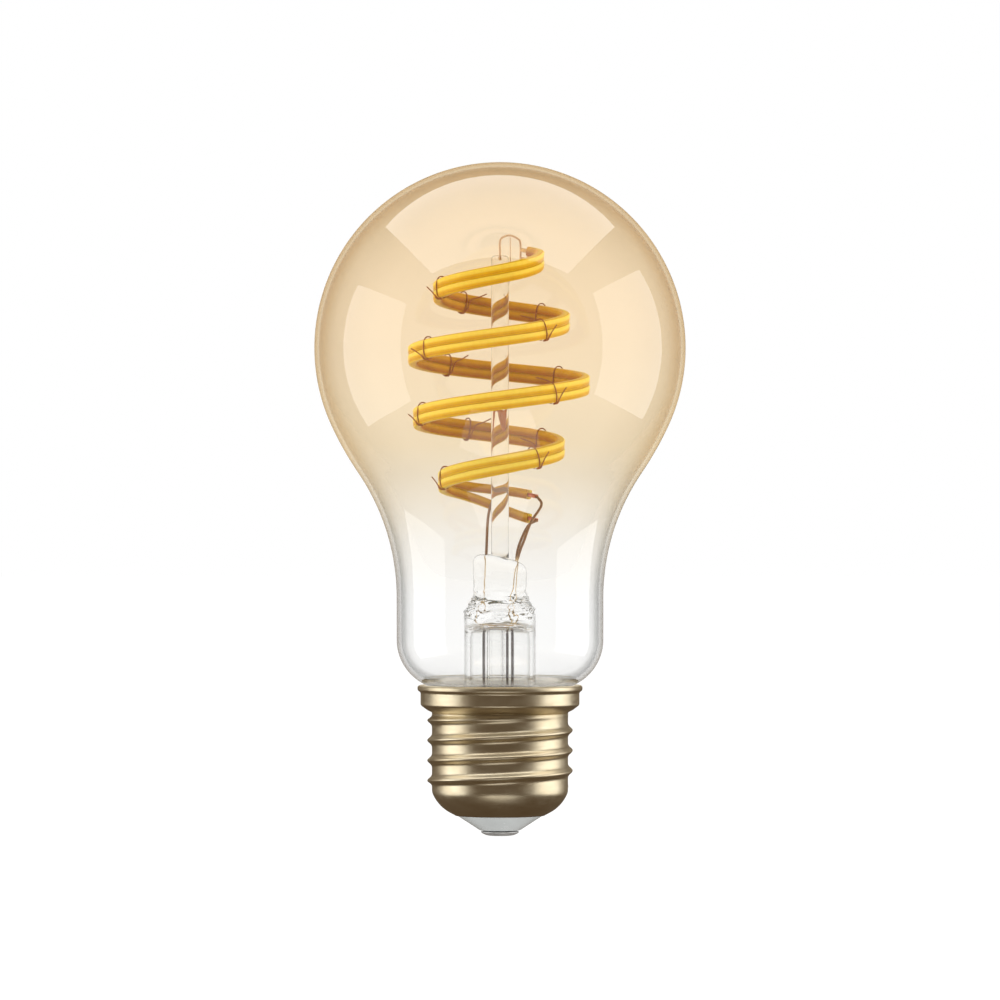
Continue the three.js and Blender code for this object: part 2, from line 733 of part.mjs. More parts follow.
const warmEnd = leadEnd("warm");
add(
  "warm_lead",
  leadWire(
    pinchLeads.warm,
    [
      vec(4.4, -0.2, pinchTop + 3.2),
      vec(5.6, 0.9, pinchTop + 6.4),
      vec(warmEnd.x + 0.8, warmEnd.y - 1.6, warmEnd.z - 1.6),
      warmEnd,
    ],
    24,
  ),
  materials.leadWire,
);

const coolEnd = leadEnd("cool");
add(
  "cool_lead",
  leadWire(
    pinchLeads.cool,
    [
      vec(3.6, 1.6, pinchTop + 2.6),
      vec(coolEnd.x - 1.6, coolEnd.y - 1.6, coolEnd.z - 1),
      coolEnd,
    ],
    24,
  ),
  materials.leadWire,
);

// ---------------------------------------------------------------- filament ties

// A tie is one turn of thin wire round both strands. Its tail leaves from the bottom of the loop: on the
// front of the coil outside the strands, on the back of it inside them.
function tie(angle) {
  const centre = coilPoint(angle);
  const along = coilPoint(angle + 1).sub(coilPoint(angle - 1)).normalize();
  const up = vec(0, 0, 1).addScaledVector(along, -along.z).normalize();
  const out = along.clone().cross(up);
  const reach = STRAND_RADIUS + GAP + TIE_RADIUS;
  const place = (outwards, upwards, forwards) =>
    centre
      .clone()
      .addScaledVector(out, outwards)
      .addScaledVector(up, upwards)
      .addScaledVector(along, forwards);
  const front = Math.sin(radians(angle)) < 0;
  const side = front ? 1 : -1;
  const pitch = 3.2 * TIE_RADIUS;
  const points = [];
  const steps = 10;
  for (let step = 0; step <= steps; step += 1) {
    const turn = -Math.PI / 2 - side * (0.35 + ((2 * Math.PI - 0.35) * step) / steps);
    const half = (Math.sign(Math.sin(turn)) * STRAND_SPACING) / 2;
    points.push(place(reach * Math.cos(turn), reach * Math.sin(turn) + half, pitch * (step / steps - 0.5)));
  }
  const low = -STRAND_SPACING / 2;
  points.push(
    place(side * reach * 0.85, low - 0.75 * reach, pitch * 0.9),
    place(side * (reach + 0.35), low, pitch + TIE_TAIL * 0.3),
    place(side * (reach + 0.5), 0, pitch + TIE_TAIL),
  );
  return smoothWire(points, TIE_RADIUS, 16, TIE_SIDES);
}

TIE_ANGLES.forEach((angle, i) => {
  add(`filament_tie_${String(i + 1).padStart(2, "0")}`, tie(angle), materials.tieWire);
});

// ---------------------------------------------------------------- driver

const sleeveBottom = THREAD_BOTTOM + 0.2;
add(
  "insulating_sleeve",
  ring([
    [sleeveRadius, sleeveBottom],
    [sleeveRadius, sleeveTop],
    [sleeveRadius - SLEEVE_WALL, sleeveTop],
    [sleeveRadius - SLEEVE_WALL, sleeveBottom],
  ]),
  materials.sleeve,
);

// A place on the board for a round part of this radius, against the board's edge at an angle.
function boardPlace(angle, radius) {
  const reach = boardRadius - EDGE_MARGIN - radius;
  return vec(reach * Math.cos(radians(angle)), reach * Math.sin(radians(angle)), 0);
}

const shellHole = boardPlace(150, 0.6);
const [resistorX, resistorY] = RESISTOR_PLACE;
const resistorStart = resistorX - RESISTOR_LENGTH / 2;
const resistorStop = resistorX + RESISTOR_LENGTH / 2;
const resistorHole = vec(resistorStart - 1, resistorY, 0);

function driverBoard() {
  const disc = turned(
    [
      [0, boardBottom],
      [boardRadius, boardBottom],
      [boardRadius, boardTop],
      [0, boardTop],
    ],
    ROUND,
  );
  let board = solid(disc);
  const wires = [...Object.values(pinchLeads).map((lead) => lead.below), shellHole, resistorHole];
  for (const place of wires) {
    const hole = straightWire(
      vec(place.x, place.y, boardBottom - 1),
      vec(place.x, place.y, boardTop + 1),
      LEAD_RADIUS + HOLE_CLEARANCE,
      8,
    );
    board = board.subtract(solid(hole));
  }
  return fromSolid(board);
}

add("driver_board", driverBoard(), materials.board);

const onBoard = boardTop + GAP;
const underBoard = boardBottom - GAP;

const capacitorPlace = boardPlace(185, CAPACITOR_RADIUS);
add(
  "electrolytic_capacitor",
  turned(
    [
      [0, onBoard],
      [CAPACITOR_RADIUS, onBoard],
      [CAPACITOR_RADIUS, onBoard + 0.9],
      [CAPACITOR_RADIUS - 0.25, onBoard + 1.2],
      [CAPACITOR_RADIUS, onBoard + 1.5],
      [CAPACITOR_RADIUS, onBoard + CAPACITOR_HEIGHT - 0.3],
      [CAPACITOR_RADIUS - 0.4, onBoard + CAPACITOR_HEIGHT],
      [0, onBoard + CAPACITOR_HEIGHT],
    ],
    SMALL_ROUND,
  ).translate(capacitorPlace.x, capacitorPlace.y, 0),
  materials.capacitorSleeve,
);

// The inductor is a ferrite drum with copper wound in its waist.
const inductorPlace = boardPlace(-48, INDUCTOR_RADIUS);
const flange = 0.9;
const drumWaist = INDUCTOR_RADIUS * 0.5;
add(
  "inductor_core",
  turned(
    [
      [0, onBoard],
      [INDUCTOR_RADIUS, onBoard],
      [INDUCTOR_RADIUS, onBoard + flange],
      [drumWaist, onBoard + flange],
      [drumWaist, onBoard + INDUCTOR_HEIGHT - flange],
      [INDUCTOR_RADIUS, onBoard + INDUCTOR_HEIGHT - flange],
      [INDUCTOR_RADIUS, onBoard + INDUCTOR_HEIGHT],
      [0, onBoard + INDUCTOR_HEIGHT],
    ],
    SMALL_ROUND,
  ).translate(inductorPlace.x, inductorPlace.y, 0),
  materials.ferrite,
);
add(
  "inductor_winding",
  ring(
    [
      [drumWaist + GAP, onBoard + flange + GAP],
      [INDUCTOR_RADIUS - 0.3, onBoard + flange + GAP],
      [INDUCTOR_RADIUS - 0.3, onBoard + INDUCTOR_HEIGHT - flange - GAP],
      [drumWaist + GAP, onBoard + INDUCTOR_HEIGHT - flange - GAP],
    ],
    SMALL_ROUND,
  ).translate(inductorPlace.x, inductorPlace.y, 0),
  materials.copper,
);

// The radio stands upright at the back of the board, its screening can facing the middle.
const [radioWidth, radioDepth, radioHeight] = RADIO_BOARD;
const radioY = Math.sqrt((boardRadius - EDGE_MARGIN) ** 2 - (radioWidth / 2) ** 2) - radioDepth / 2;
add(
  "radio_board",
  block(RADIO_BOARD, vec(0, radioY, onBoard + radioHeight / 2)),
  materials.board,
);
const shieldY = radioY - radioDepth / 2 - GAP - RADIO_SHIELD[1] / 2;
add(
  "radio_shield",
  block(RADIO_SHIELD, vec(0, shieldY, onBoard + 0.8 + RADIO_SHIELD[2] / 2)),
  materials.can,
);

const controllerY = -boardRadius + EDGE_MARGIN + 1 + CONTROLLER[1] / 2;
add(
  "led_controller",
  block(CONTROLLER, vec(-1.2, controllerY, onBoard + CONTROLLER[2] / 2)),
  materials.blackPlastic,
);
const switchX = boardRadius - EDGE_MARGIN - 0.8 - SWITCH[0] / 2;
["warm", "cool"].forEach((name, i) => {
  const y = 0.5 + i * (SWITCH[1] + 1);
  add(`${name}_switch`, block(SWITCH, vec(switchX, y, onBoard + SWITCH[2] / 2)), materials.blackPlastic);
});

add(
  "bridge_rectifier",
  block(BRIDGE, vec(-5.4, -1.2, underBoard - BRIDGE[2] / 2)),
  materials.blackPlastic,
);
add(
  "film_capacitor",
  block(FILM_CAPACITOR, vec(2.6, 5.4, underBoard - FILM_CAPACITOR[2] / 2)),
  materials.filmYellow,
);

// The fusible resistor lies under the board, between the centre contact and the mains input.
const resistorZ = underBoard - RESISTOR_RADIUS;
add(
  "fusible_resistor",
  turned(
    [
      [0, resistorStart],
      [RESISTOR_RADIUS * 0.8, resistorStart],
      [RESISTOR_RADIUS, resistorStart + 0.5],
      [RESISTOR_RADIUS, resistorStop - 0.5],
      [RESISTOR_RADIUS * 0.8, resistorStop],
      [0, resistorStop],
    ],
    12,
  )
    .rotateY(Math.PI / 2)
    .translate(0, resistorY, resistorZ),
  materials.resistorBody,
);
add(
  "resistor_lead",
  smoothWire(
    [
      vec(resistorStart - GAP, resistorY, resistorZ),
      vec(resistorHole.x + 0.3, resistorY, resistorZ + 0.1),
      vec(resistorHole.x, resistorY, resistorZ + 0.5),
      vec(resistorHole.x, resistorY, boardTop + 0.4),
    ],
    LEAD_RADIUS,
    8,
  ),
  materials.leadWire,
);
add(
  "contact_lead",
  smoothWire(
    [
      vec(0, 0, CONTACT_THICKNESS + CONTACT_BOSS_HEIGHT + GAP),
      vec(0, 0, insulatorTop),
      vec(0.6, -1.4, insulatorTop + 1),
      vec(resistorStop + 1.2, resistorY + 0.9, resistorZ - 0.3),
      vec(resistorStop + 1, resistorY, resistorZ),
      vec(resistorStop + GAP, resistorY, resistorZ),
    ],
    LEAD_RADIUS,
    14,
  ),
  materials.leadWire,
);

// The shell lead drops from the board and turns out under the sleeve to the shell's wall.
const shellOut = shellHole.clone().setLength(shellBoreRadius - GAP - 0.7);
const shellIn = shellHole.clone().setLength(shellHole.length() + 0.3);
add(
  "shell_lead",
  smoothWire(
    [
      vec(shellHole.x, shellHole.y, boardTop + 0.4),
      vec(shellHole.x, shellHole.y, sleeveBottom - 0.3),
      vec(shellIn.x, shellIn.y, sleeveBottom - 0.8),
      vec(shellOut.x, shellOut.y, sleeveBottom - 1),
    ],
    LEAD_RADIUS,
    10,
  ),
  materials.leadWire,
);

export default bulb;
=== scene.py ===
# %% [markdown]
# # A spiral-filament smart light bulb
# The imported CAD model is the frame: it fixes every size and place. Each visible piece gets a finer mesh in
# the same place, and the pieces hidden in the cap keep their CAD mesh and get a better finish.
# All lengths in this lesson are written in millimetres, as on a drawing, and turned into Blender's metres
# in one place, so that a number here can be held against the real bulb.

import math

import bmesh
import bpy
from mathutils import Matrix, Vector, noise


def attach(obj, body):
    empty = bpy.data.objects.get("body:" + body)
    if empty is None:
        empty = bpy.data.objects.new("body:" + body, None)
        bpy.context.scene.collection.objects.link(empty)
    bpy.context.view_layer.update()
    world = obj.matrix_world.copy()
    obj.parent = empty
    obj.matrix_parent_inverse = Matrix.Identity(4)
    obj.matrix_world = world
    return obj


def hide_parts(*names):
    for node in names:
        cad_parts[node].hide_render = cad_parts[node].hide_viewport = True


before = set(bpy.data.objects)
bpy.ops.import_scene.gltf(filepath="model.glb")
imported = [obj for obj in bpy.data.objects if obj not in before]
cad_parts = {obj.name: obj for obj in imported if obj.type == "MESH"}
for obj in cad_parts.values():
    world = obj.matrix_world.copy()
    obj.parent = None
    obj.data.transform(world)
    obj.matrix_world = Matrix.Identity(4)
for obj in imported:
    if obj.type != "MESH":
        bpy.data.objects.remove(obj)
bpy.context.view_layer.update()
MM = 0.001
scene = bpy.context.scene


def add_object(name, data):
    made = bpy.data.objects.new(name, data)
    scene.collection.objects.link(made)
    return made


# %% [markdown]
# ## The camera
# A long lens stands far back, level with the bulb's middle, so that the bulb is hardly foreshortened. It is
# made before the pieces because nothing else depends on it.

# %% Camera
CAMERA_HEIGHT = 60.4
CAMERA_DISTANCE = 1170
LENS = 234
SENSOR = 36

camera_data = bpy.data.cameras.new("bulb_camera")
camera_data.lens = LENS
camera_data.sensor_width = SENSOR
camera = add_object("bulb_camera", camera_data)
camera.location = (0, -CAMERA_DISTANCE * MM, CAMERA_HEIGHT * MM)
camera.rotation_euler = (math.radians(90), 0, 0)
scene.camera = camera
print("camera sees", round(CAMERA_DISTANCE * SENSOR / LENS, 1), "mm at the bulb's axis")

# %% [markdown]
# ## Small tools for meshes
# A bulb is mostly turned and drawn shapes. `turned` spins a drawn outline round the axis, like a glass lathe,
# and `lofted` joins a stack of rings, which also covers shapes that stop being round, such as the pinch.
# Every closed mesh is asked for its signed volume: one that is inside out has a negative one, and is then
# flipped.

# %% Mesh helpers
def new_mesh(name, points, faces):
    mesh = bpy.data.meshes.new(name)
    mesh.from_pydata([tuple(c * MM for c in p) for p in points], [], faces)
    return mesh


def closed_piece(name, mesh):
    """Makes an object of a closed mesh, after turning the mesh the right way round."""
    shape = bmesh.new()
    shape.from_mesh(mesh)
    if shape.calc_volume(signed=True) < 0:
        bmesh.ops.reverse_faces(shape, faces=shape.faces)
    shape.to_mesh(mesh)
    shape.free()
    return add_object(name, mesh)


def lofted(name, rings, closed_loop=False):
    """Rings of equal length; a ring of one point is a pole. closed_loop joins the last ring to the first."""
    points, starts = [], []
    for ring in rings:
        starts.append(len(points))
        points.extend(ring)
    faces = []
    pairs = list(zip(range(len(rings) - 1), range(1, len(rings))))
    if closed_loop:
        pairs.append((len(rings) - 1, 0))
    for low, high in pairs:
        a, b = starts[low], starts[high]
        m, n = len(rings[low]), len(rings[high])
        for i in range(max(m, n)):
            j = (i + 1) % max(m, n)
            if m > 1 and n > 1:
                faces.append((a + i, a + j, b + j, b + i))
            elif m > 1:
                faces.append((a + i, a + j, b))
            elif n > 1:
                faces.append((a, b + j, b + i))
    piece = closed_piece(name, new_mesh(name, points, faces))
    for face in piece.data.polygons:
        face.use_smooth = True
    return piece


def circle_ring(radius, height, around, centre=(0, 0), reach=None):
    """A level ring. reach(share of a turn) is how far the ring stands out there."""
    if radius == 0:
        return [(centre[0], centre[1], height)]
    ring = []
    for i in range(around):
        turn = i / around
        r = radius + (reach(turn) if reach else 0)
        angle = turn * math.tau
        ring.append((centre[0] + r * math.cos(angle), centre[1] + r * math.sin(angle), height))
    return ring


def turned(name, outline, around=96, centre=(0, 0)):
    """Spins a closed outline of (radius, height) points."""
    open_ended = outline[0][0] == 0 and outline[-1][0] == 0
    rings = [circle_ring(r, z, around, centre) for r, z in outline]
    return lofted(name, rings, closed_loop=not open_ended)


def smoothstep(t):
    t = min(1.0, max(0.0, t))
    return t * t * (3 - 2 * t)


def mix(a, b, t):
    return a + (b - a) * t


def arc(centre, radius, start, end, steps):
    """Points of an arc between two angles in degrees."""
    points = []
    for i in range(steps + 1):
        angle = math.radians(mix(start, end, i / steps))
        points.append((centre[0] + radius * math.cos(angle), centre[1] + radius * math.sin(angle)))
    return points


def rounded(outline, radius, steps=4):
    """The outline with its corners eased by a small radius, so that edges catch the light."""
    result = []
    count = len(outline)
    for i, (x, z) in enumerate(outline):
        before, after = Vector(outline[i - 1]), Vector(outline[(i + 1) % count])
        here = Vector((x, z))
        if x == 0:
            result.append((x, z))
            continue
        into, out = here - before, after - here
        ease = min(radius, into.length * 0.45, out.length * 0.45)
        if ease <= 0 or into.angle(out, 0) < math.radians(8):
            result.append((x, z))
            continue
        first, last = here - into.normalized() * ease, here + out.normalized() * ease
        for k in range(steps + 1):
            t = k / steps
            p = first * (1 - t) ** 2 + here * 2 * t * (1 - t) + last * t * t
            result.append((p.x, p.y))
    return result


# %% [markdown]
# ## Small tools for finishes
# Every finish is a Principled shader with its pattern from noise on Object coordinates, so that the pattern
# keeps its real size in millimetres. Numbers that are the same all over the surface are set on the shader's
# own sockets.

# %% Material helpers
NOISE_LOW, NOISE_HIGH = 0.3, 0.7  # nearly all of a noise pattern's values lie between these


def feed(tree, node, inputs):
    """Feeds a node's inputs, each from another node's output or with a fixed value."""
    for key, value in inputs.items():
        if isinstance(value, bpy.types.NodeSocket):
            tree.links.new(value, node.inputs[key])
        else:
            node.inputs[key].default_value = value


def add_node(tree, kind, inputs=None, **settings):
    """Adds a node. The settings come first, because some of them decide which inputs there are."""
    node = tree.nodes.new(kind)
    for name, value in settings.items():
        setattr(node, name, value)
    feed(tree, node, inputs or {})
    return node


def new_material(name):
    material = bpy.data.materials.new(name)
    material.use_nodes = True
    tree = material.node_tree
    return material, tree, tree.nodes["Principled BSDF"], tree.nodes["Material Output"]


def calculated(tree, operation, *values):
    return add_node(tree, "ShaderNodeMath", dict(enumerate(values)), operation=operation).outputs[0]


def value_range(tree, source, low, high, from_low=NOISE_LOW, from_high=NOISE_HIGH):
    """Carries a value from one range over to another, and holds it at both ends."""
    return add_node(tree, "ShaderNodeMapRange", {
        "Value": source, "From Min": from_low, "From Max": from_high, "To Min": low, "To Max": high,
    }).outputs["Result"]


def pattern(tree, scale_mm, stretch=(1, 1, 1), detail=4.0, kind="noise"):
    """A grey pattern whose features are about scale_mm across, stretched by a factor along each axis."""
    where = add_node(tree, "ShaderNodeTexCoord").outputs["Object"]
    scale = [1 / (MM * scale_mm * s) for s in stretch]
    place = add_node(tree, "ShaderNodeMapping", {"Vector": where, "Scale": scale}).outputs["Vector"]
    if kind == "voronoi":
        return add_node(tree, "ShaderNodeTexVoronoi", {"Vector": place, "Scale": 1}).outputs["Distance"]
    noisy = add_node(tree, "ShaderNodeTexNoise", {"Vector": place, "Scale": 1, "Detail": detail})
    return noisy.outputs["Fac"]


def object_height(tree):
    """The height above the bulb's lowest point, in metres."""
    where = add_node(tree, "ShaderNodeTexCoord").outputs["Object"]
    return add_node(tree, "ShaderNodeSeparateXYZ", {"Vector": where}).outputs["Z"]


def colour_ramp(tree, source, stops):
    ramp = add_node(tree, "ShaderNodeValToRGB", {"Fac": source})
    while len(ramp.color_ramp.elements) < len(stops):
        ramp.color_ramp.elements.new(0.5)
    for element, (place, colour) in zip(ramp.color_ramp.elements, stops):
        element.position = place
        element.color = (*colour, 1)
    return ramp.outputs["Color"]


def two_tone(tree, source, dark, light):
    return colour_ramp(tree, source, [(NOISE_LOW, dark), (NOISE_HIGH, light)])


def mixed(tree, factor, first, second, blend="MIX"):
    """Mixes two colours, each an output of another node or a fixed colour."""
    return add_node(tree, "ShaderNodeMix", {"Factor": factor, "A": first, "B": second},
                    data_type="RGBA", blend_type=blend).outputs["Result"]


def mixed_shader(tree, factor, first, second):
    return add_node(tree, "ShaderNodeMixShader", {0: factor, 1: first, 2: second}).outputs["Shader"]


def bump(tree, shader, height, strength, depth_mm):
    node = add_node(tree, "ShaderNodeBump", {
        "Height": height, "Strength": strength, "Distance": depth_mm * MM})
    feed(tree, shader, {"Normal": node.outputs["Normal"]})


def finish(name, dark, light, scale_mm=1.0, rough=(0.4, 0.5), metallic=0.0, bump_mm=0.02, coat=0.0,
           stretch=(1, 1, 1), kind="noise"):
    """A two-tone finish with uneven gloss and a fine bump, for moulded, plated and painted pieces."""
    material, tree, shader, _ = new_material(name)
    tone = pattern(tree, scale_mm, stretch, kind=kind)
    fine = pattern(tree, scale_mm * 0.3, stretch)
    feed(tree, shader, {
        "Base Color": two_tone(tree, tone, dark, light),
        "Roughness": value_range(tree, fine, *rough),
        "Metallic": metallic,
        "Coat Weight": coat,
    })
    bump(tree, shader, fine, 0.4, bump_mm)
    return material


# %% [markdown]
# ## Wires by Geometry Nodes
# Leads, the hook and the ties are all round wire that follows a path, so one node tree makes them: it takes
# the path as a curve, sweeps a circle along it and closes the ends. The tree has named inputs for the half
# width and half height of the section and for its number of sides, and each point's radius on the path is the
# share of that size there. A second tree does the same with the strand's section. Realize Instances and Set
# Material end the tree, and the result is turned into a plain mesh, because the modifier itself isn't part
# of the finished piece.

# %% The wire trees
CORNER_POWER = 0.48
RIDGE_DIRECTION = (0.955, -0.297, 0)
RIDGE_START = 0.93
RIDGE_TOP = 1.1
TREE_INPUTS = {"Path": "Geometry", "Half width": "Float", "Half height": "Float", "Sides": "Int",
               "Finish": "Material"}


def strand_section(tree, place):
    """The strand's section, from places on a unit circle: soft corners and two low ridges."""
    # A superellipse: each coordinate's size is raised to a power below one, which squares the corners.
    along = add_node(tree, "ShaderNodeSeparateXYZ", {"Vector": place}).outputs
    sides = {}
    for axis in "XY":
        size = calculated(tree, "POWER", calculated(tree, "ABSOLUTE", along[axis]), CORNER_POWER)
        sides[axis] = calculated(tree, "MULTIPLY", size, calculated(tree, "SIGN", along[axis]))
    squared = add_node(tree, "ShaderNodeCombineXYZ", sides).outputs["Vector"]
    # A low ridge runs along the outer and the inner face, where the silicone was laid in two passes.
    near = add_node(tree, "ShaderNodeVectorMath", {0: place, 1: RIDGE_DIRECTION}, operation="DOT_PRODUCT")
    ridge = add_node(tree, "ShaderNodeMapRange", {
        "Value": calculated(tree, "ABSOLUTE", near.outputs["Value"]),
        "From Min": RIDGE_START, "To Min": 1.0, "To Max": RIDGE_TOP,
    }, interpolation_type="SMOOTHSTEP")
    return add_node(tree, "ShaderNodeVectorMath", {0: squared, "Scale": ridge.outputs["Result"]},
                    operation="SCALE").outputs["Vector"]


def sweep_tree(name, is_strand=False):
    """A tree that sweeps a round section, or the strand's own, along a path."""
    tree = bpy.data.node_groups.new(name, "GeometryNodeTree")
    for input_name, kind in TREE_INPUTS.items():
        tree.interface.new_socket(name=input_name, in_out="INPUT", socket_type="NodeSocket" + kind)
    tree.interface.new_socket(name="Geometry", in_out="OUTPUT", socket_type="NodeSocketGeometry")
    given = add_node(tree, "NodeGroupInput").outputs
    circle = add_node(tree, "GeometryNodeCurvePrimitiveCircle", {"Resolution": given["Sides"], "Radius": 1})
    # The direction from the section's middle goes along as an attribute, for the finish to read: X points
    # away from the coil's axis and -Y points up.
    place = add_node(tree, "GeometryNodeInputPosition").outputs["Position"]
    marked = add_node(tree, "GeometryNodeStoreNamedAttribute", {
        "Geometry": circle.outputs["Curve"], "Name": "section", "Value": place,
    }, data_type="FLOAT_VECTOR", domain="POINT")
    size = add_node(tree, "ShaderNodeCombineXYZ", {
        "X": given["Half width"], "Y": given["Half height"], "Z": 1})
    scaled = add_node(tree, "ShaderNodeVectorMath", {
        0: strand_section(tree, place) if is_strand else place, 1: size.outputs["Vector"],
    }, operation="MULTIPLY")
    section = add_node(tree, "GeometryNodeSetPosition", {
        "Geometry": marked.outputs["Geometry"], "Position": scaled.outputs["Vector"]})
    upright = add_node(tree, "GeometryNodeSetCurveNormal", {"Curve": given["Path"]},
                       mode="Z_UP" if is_strand else "MINIMUM_TWIST")
    # The length along the path goes along as an attribute too.
    measured = add_node(tree, "GeometryNodeStoreNamedAttribute", {
        "Geometry": upright.outputs["Curve"], "Name": "along_length",
        "Value": add_node(tree, "GeometryNodeSplineParameter").outputs["Length"],
    }, data_type="FLOAT", domain="POINT")
    sweep = add_node(tree, "GeometryNodeCurveToMesh", {
        "Curve": measured.outputs["Geometry"], "Profile Curve": section.outputs["Geometry"],
        "Scale": add_node(tree, "GeometryNodeInputRadius").outputs["Radius"], "Fill Caps": True})
    smooth = add_node(tree, "GeometryNodeSetShadeSmooth", {"Geometry": sweep.outputs["Mesh"]})
    real = add_node(tree, "GeometryNodeRealizeInstances", {"Geometry": smooth.outputs["Geometry"]})
    painted = add_node(tree, "GeometryNodeSetMaterial", {
        "Geometry": real.outputs["Geometry"], "Material": given["Finish"]})
    add_node(tree, "NodeGroupOutput", {"Geometry": painted.outputs["Geometry"]})
    return tree


WIRE_TREE = sweep_tree("wire_along_path")
STRAND_TREE = sweep_tree("strand_along_path", is_strand=True)
print("node trees:", WIRE_TREE.name, STRAND_TREE.name)

# %% Sweep a path into a plain mesh
def swept(name, paths, half_width, half_height, sides, material, tree=WIRE_TREE, thinness=None):
    """Makes one piece from paths of points in mm. thinness(path's number, z) is the share of its size."""
    curve = bpy.data.curves.new(name + "_path", "CURVE")
    curve.dimensions = "3D"
    for number, path in enumerate(paths):
        spline = curve.splines.new("POLY")
        spline.points.add(len(path) - 1)
        for point, (x, y, z) in zip(spline.points, path):
            point.co = (x * MM, y * MM, z * MM, 1)
            point.radius = thinness(number, z) if thinness else 1
    maker = add_object(name + "_path", curve)
    modifier = maker.modifiers.new("sweep", "NODES")
    modifier.node_group = tree
    values = {"Half width": half_width * MM, "Half height": half_height * MM, "Sides": sides,
              "Finish": material}
    for socket in tree.interface.items_tree:
        if socket.name in values:
            modifier[socket.identifier] = values[socket.name]
    bpy.context.view_layer.update()
    graph = bpy.context.evaluated_depsgraph_get()
    mesh = bpy.data.meshes.new_from_object(maker.evaluated_get(graph))
    bpy.data.objects.remove(maker)
    mesh.name = name
    return closed_piece(name, mesh)


def spline_through(points, spacing=0.5):
    """Catmull-Rom points through the given ones, about spacing mm apart."""
    points = [Vector(p) for p in points]
    ends = [points[0] * 2 - points[1], *points, points[-1] * 2 - points[-2]]
    result = []
    for i in range(len(points) - 1):
        a, b, c, d = ends[i:i + 4]
        steps = max(1, round((c - b).length / spacing))
        for k in range(steps):
            t = k / steps
            result.append(0.5 * ((2 * b) + (c - a) * t + (2 * a - 5 * b + 4 * c - d) * t ** 2
                                 + (3 * b - a - 3 * c + d) * t ** 3))
    result.append(points[-1])
    return result


def smooth_outline(points, spacing):
    """A smooth outline through (radius, height) points."""
    return [(p.x, p.y) for p in spline_through([(*point, 0) for point in points], spacing)]


FINISHED = []


def keep(piece, slot, *nodes, material=None):
    """Lets a finished piece ride on the one body, in place of its CAD nodes."""
    if material:
        piece.data.materials.append(material)
    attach(piece, "root")
    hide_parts(*nodes)
    FINISHED.append(piece)
    print(piece.name, len(piece.data.polygons), "faces")


# %% [markdown]
# ## Finishes for glass
# The amber glass is lightly tinted from inside the melt. The tint is strongest at the head and fades out at
# the neck, so the shader's colour follows the height. Layer Weight darkens the colour where the wall is seen
# edge-on: on the tinted head this is partly the deeper tint of the longer path through the glass, and for the
# rest it is painted shade, the grey edges that refraction of a darker room gives, painted on the clear neck
# too.
# There the wall also mirrors little and mainly refracts. Shadow rays see a Transparent shader with the same
# tint:
# real glass lets light in, and tracing it through two walls would leave the filament dark and noisy.

# %% Glass
BULB_HEIGHT = 121.2
COATING_START, COATING_FULL = 45, 68
GLASS_IOR = 1.47
NECK_SHARE = 0.65
EDGE_START, EDGE_FULL = 0.6, 0.85


def glass(name, tint_stops, clear_edge_shade, tinted_edge_shade, drunk_edge=0.0):
    """Glass whose tint follows the height. The two edge ramps, painted shade, run from facing (0) to edge-on
    (1).
    """
    material, tree, shader, output = new_material(name)
    height = object_height(tree)
    body = colour_ramp(tree, value_range(tree, height, 0, 1, 0, BULB_HEIGHT * MM), tint_stops)
    coated = value_range(tree, height, 0, 1, COATING_START * MM, COATING_FULL * MM)
    facing = add_node(tree, "ShaderNodeLayerWeight", {"Blend": 0.5}).outputs["Facing"]
    # Painted shade: the edge ramps darken the colour where the wall is seen edge-on; on the tinted head it is
    # partly the deeper tint of a longer path.
    edge = mixed(tree, coated, colour_ramp(tree, facing, clear_edge_shade), colour_ramp(tree, facing, tinted_edge_shade))
    colour = mixed(tree, 1, body, edge, "MULTIPLY")
    feed(tree, shader, {"Base Color": colour, "Roughness": 0, "IOR": GLASS_IOR, "Transmission Weight": 1})
    surface = shader.outputs["BSDF"]
    if drunk_edge:
        # Edge-on the wall drinks up most of the mirror image, the coated part more than the clear neck, so
        # there the wall mainly refracts.
        refracting = add_node(tree, "ShaderNodeBsdfRefraction", {
            "Color": colour, "Roughness": 0, "IOR": GLASS_IOR})
        share = calculated(tree, "MULTIPLY", value_range(tree, coated, NECK_SHARE, 1, 0, 1),
                           value_range(tree, facing, 0, drunk_edge, EDGE_START, EDGE_FULL))
        surface = mixed_shader(tree, share, surface, refracting.outputs["BSDF"])
    # The square root, because light meets two faces of each wall.
    one_face = add_node(tree, "ShaderNodeGamma", {"Color": body, "Gamma": 0.5})
    open_glass = add_node(tree, "ShaderNodeBsdfTransparent", {"Color": one_face.outputs["Color"]})
    is_shadow = add_node(tree, "ShaderNodeLightPath").outputs["Is Shadow Ray"]
    feed(tree, output, {"Surface": mixed_shader(tree, is_shadow, surface, open_glass.outputs["BSDF"])})
    return material


WHITE = (1, 1, 1)
CLEAR = (0.99, 0.99, 0.985)
all_clear = [(0.0, CLEAR), (1.0, CLEAR)]
# Painted shade: grey on the thin tube's edges where it is seen edge-on.
thin_edge_shade = [(0.0, WHITE), (0.45, (0.97, 0.97, 0.97)), (0.75, (0.86, 0.86, 0.855)),
              (1.0, (0.62, 0.62, 0.61))]
amber_glass = glass(
    "amber_glass",
    [(0.0, CLEAR), (0.34, CLEAR), (0.44, (0.975, 0.955, 0.915)), (0.58, (0.985, 0.895, 0.745)),
     (0.75, (0.985, 0.875, 0.715)), (1.0, (0.97, 0.85, 0.675))],
    [(0.0, WHITE), (0.5, (0.98, 0.98, 0.98)), (0.64, (0.84, 0.84, 0.835)), (0.74, (0.52, 0.52, 0.51)),
     (0.86, (0.40, 0.40, 0.39)), (1.0, (0.30, 0.30, 0.29))],
    [(0.0, WHITE), (0.28, (0.985, 0.985, 0.985)), (0.48, (0.90, 0.89, 0.87)), (0.75, (0.82, 0.77, 0.67)),
     (1.0, (0.56, 0.44, 0.27))],
    drunk_edge=0.85,
)
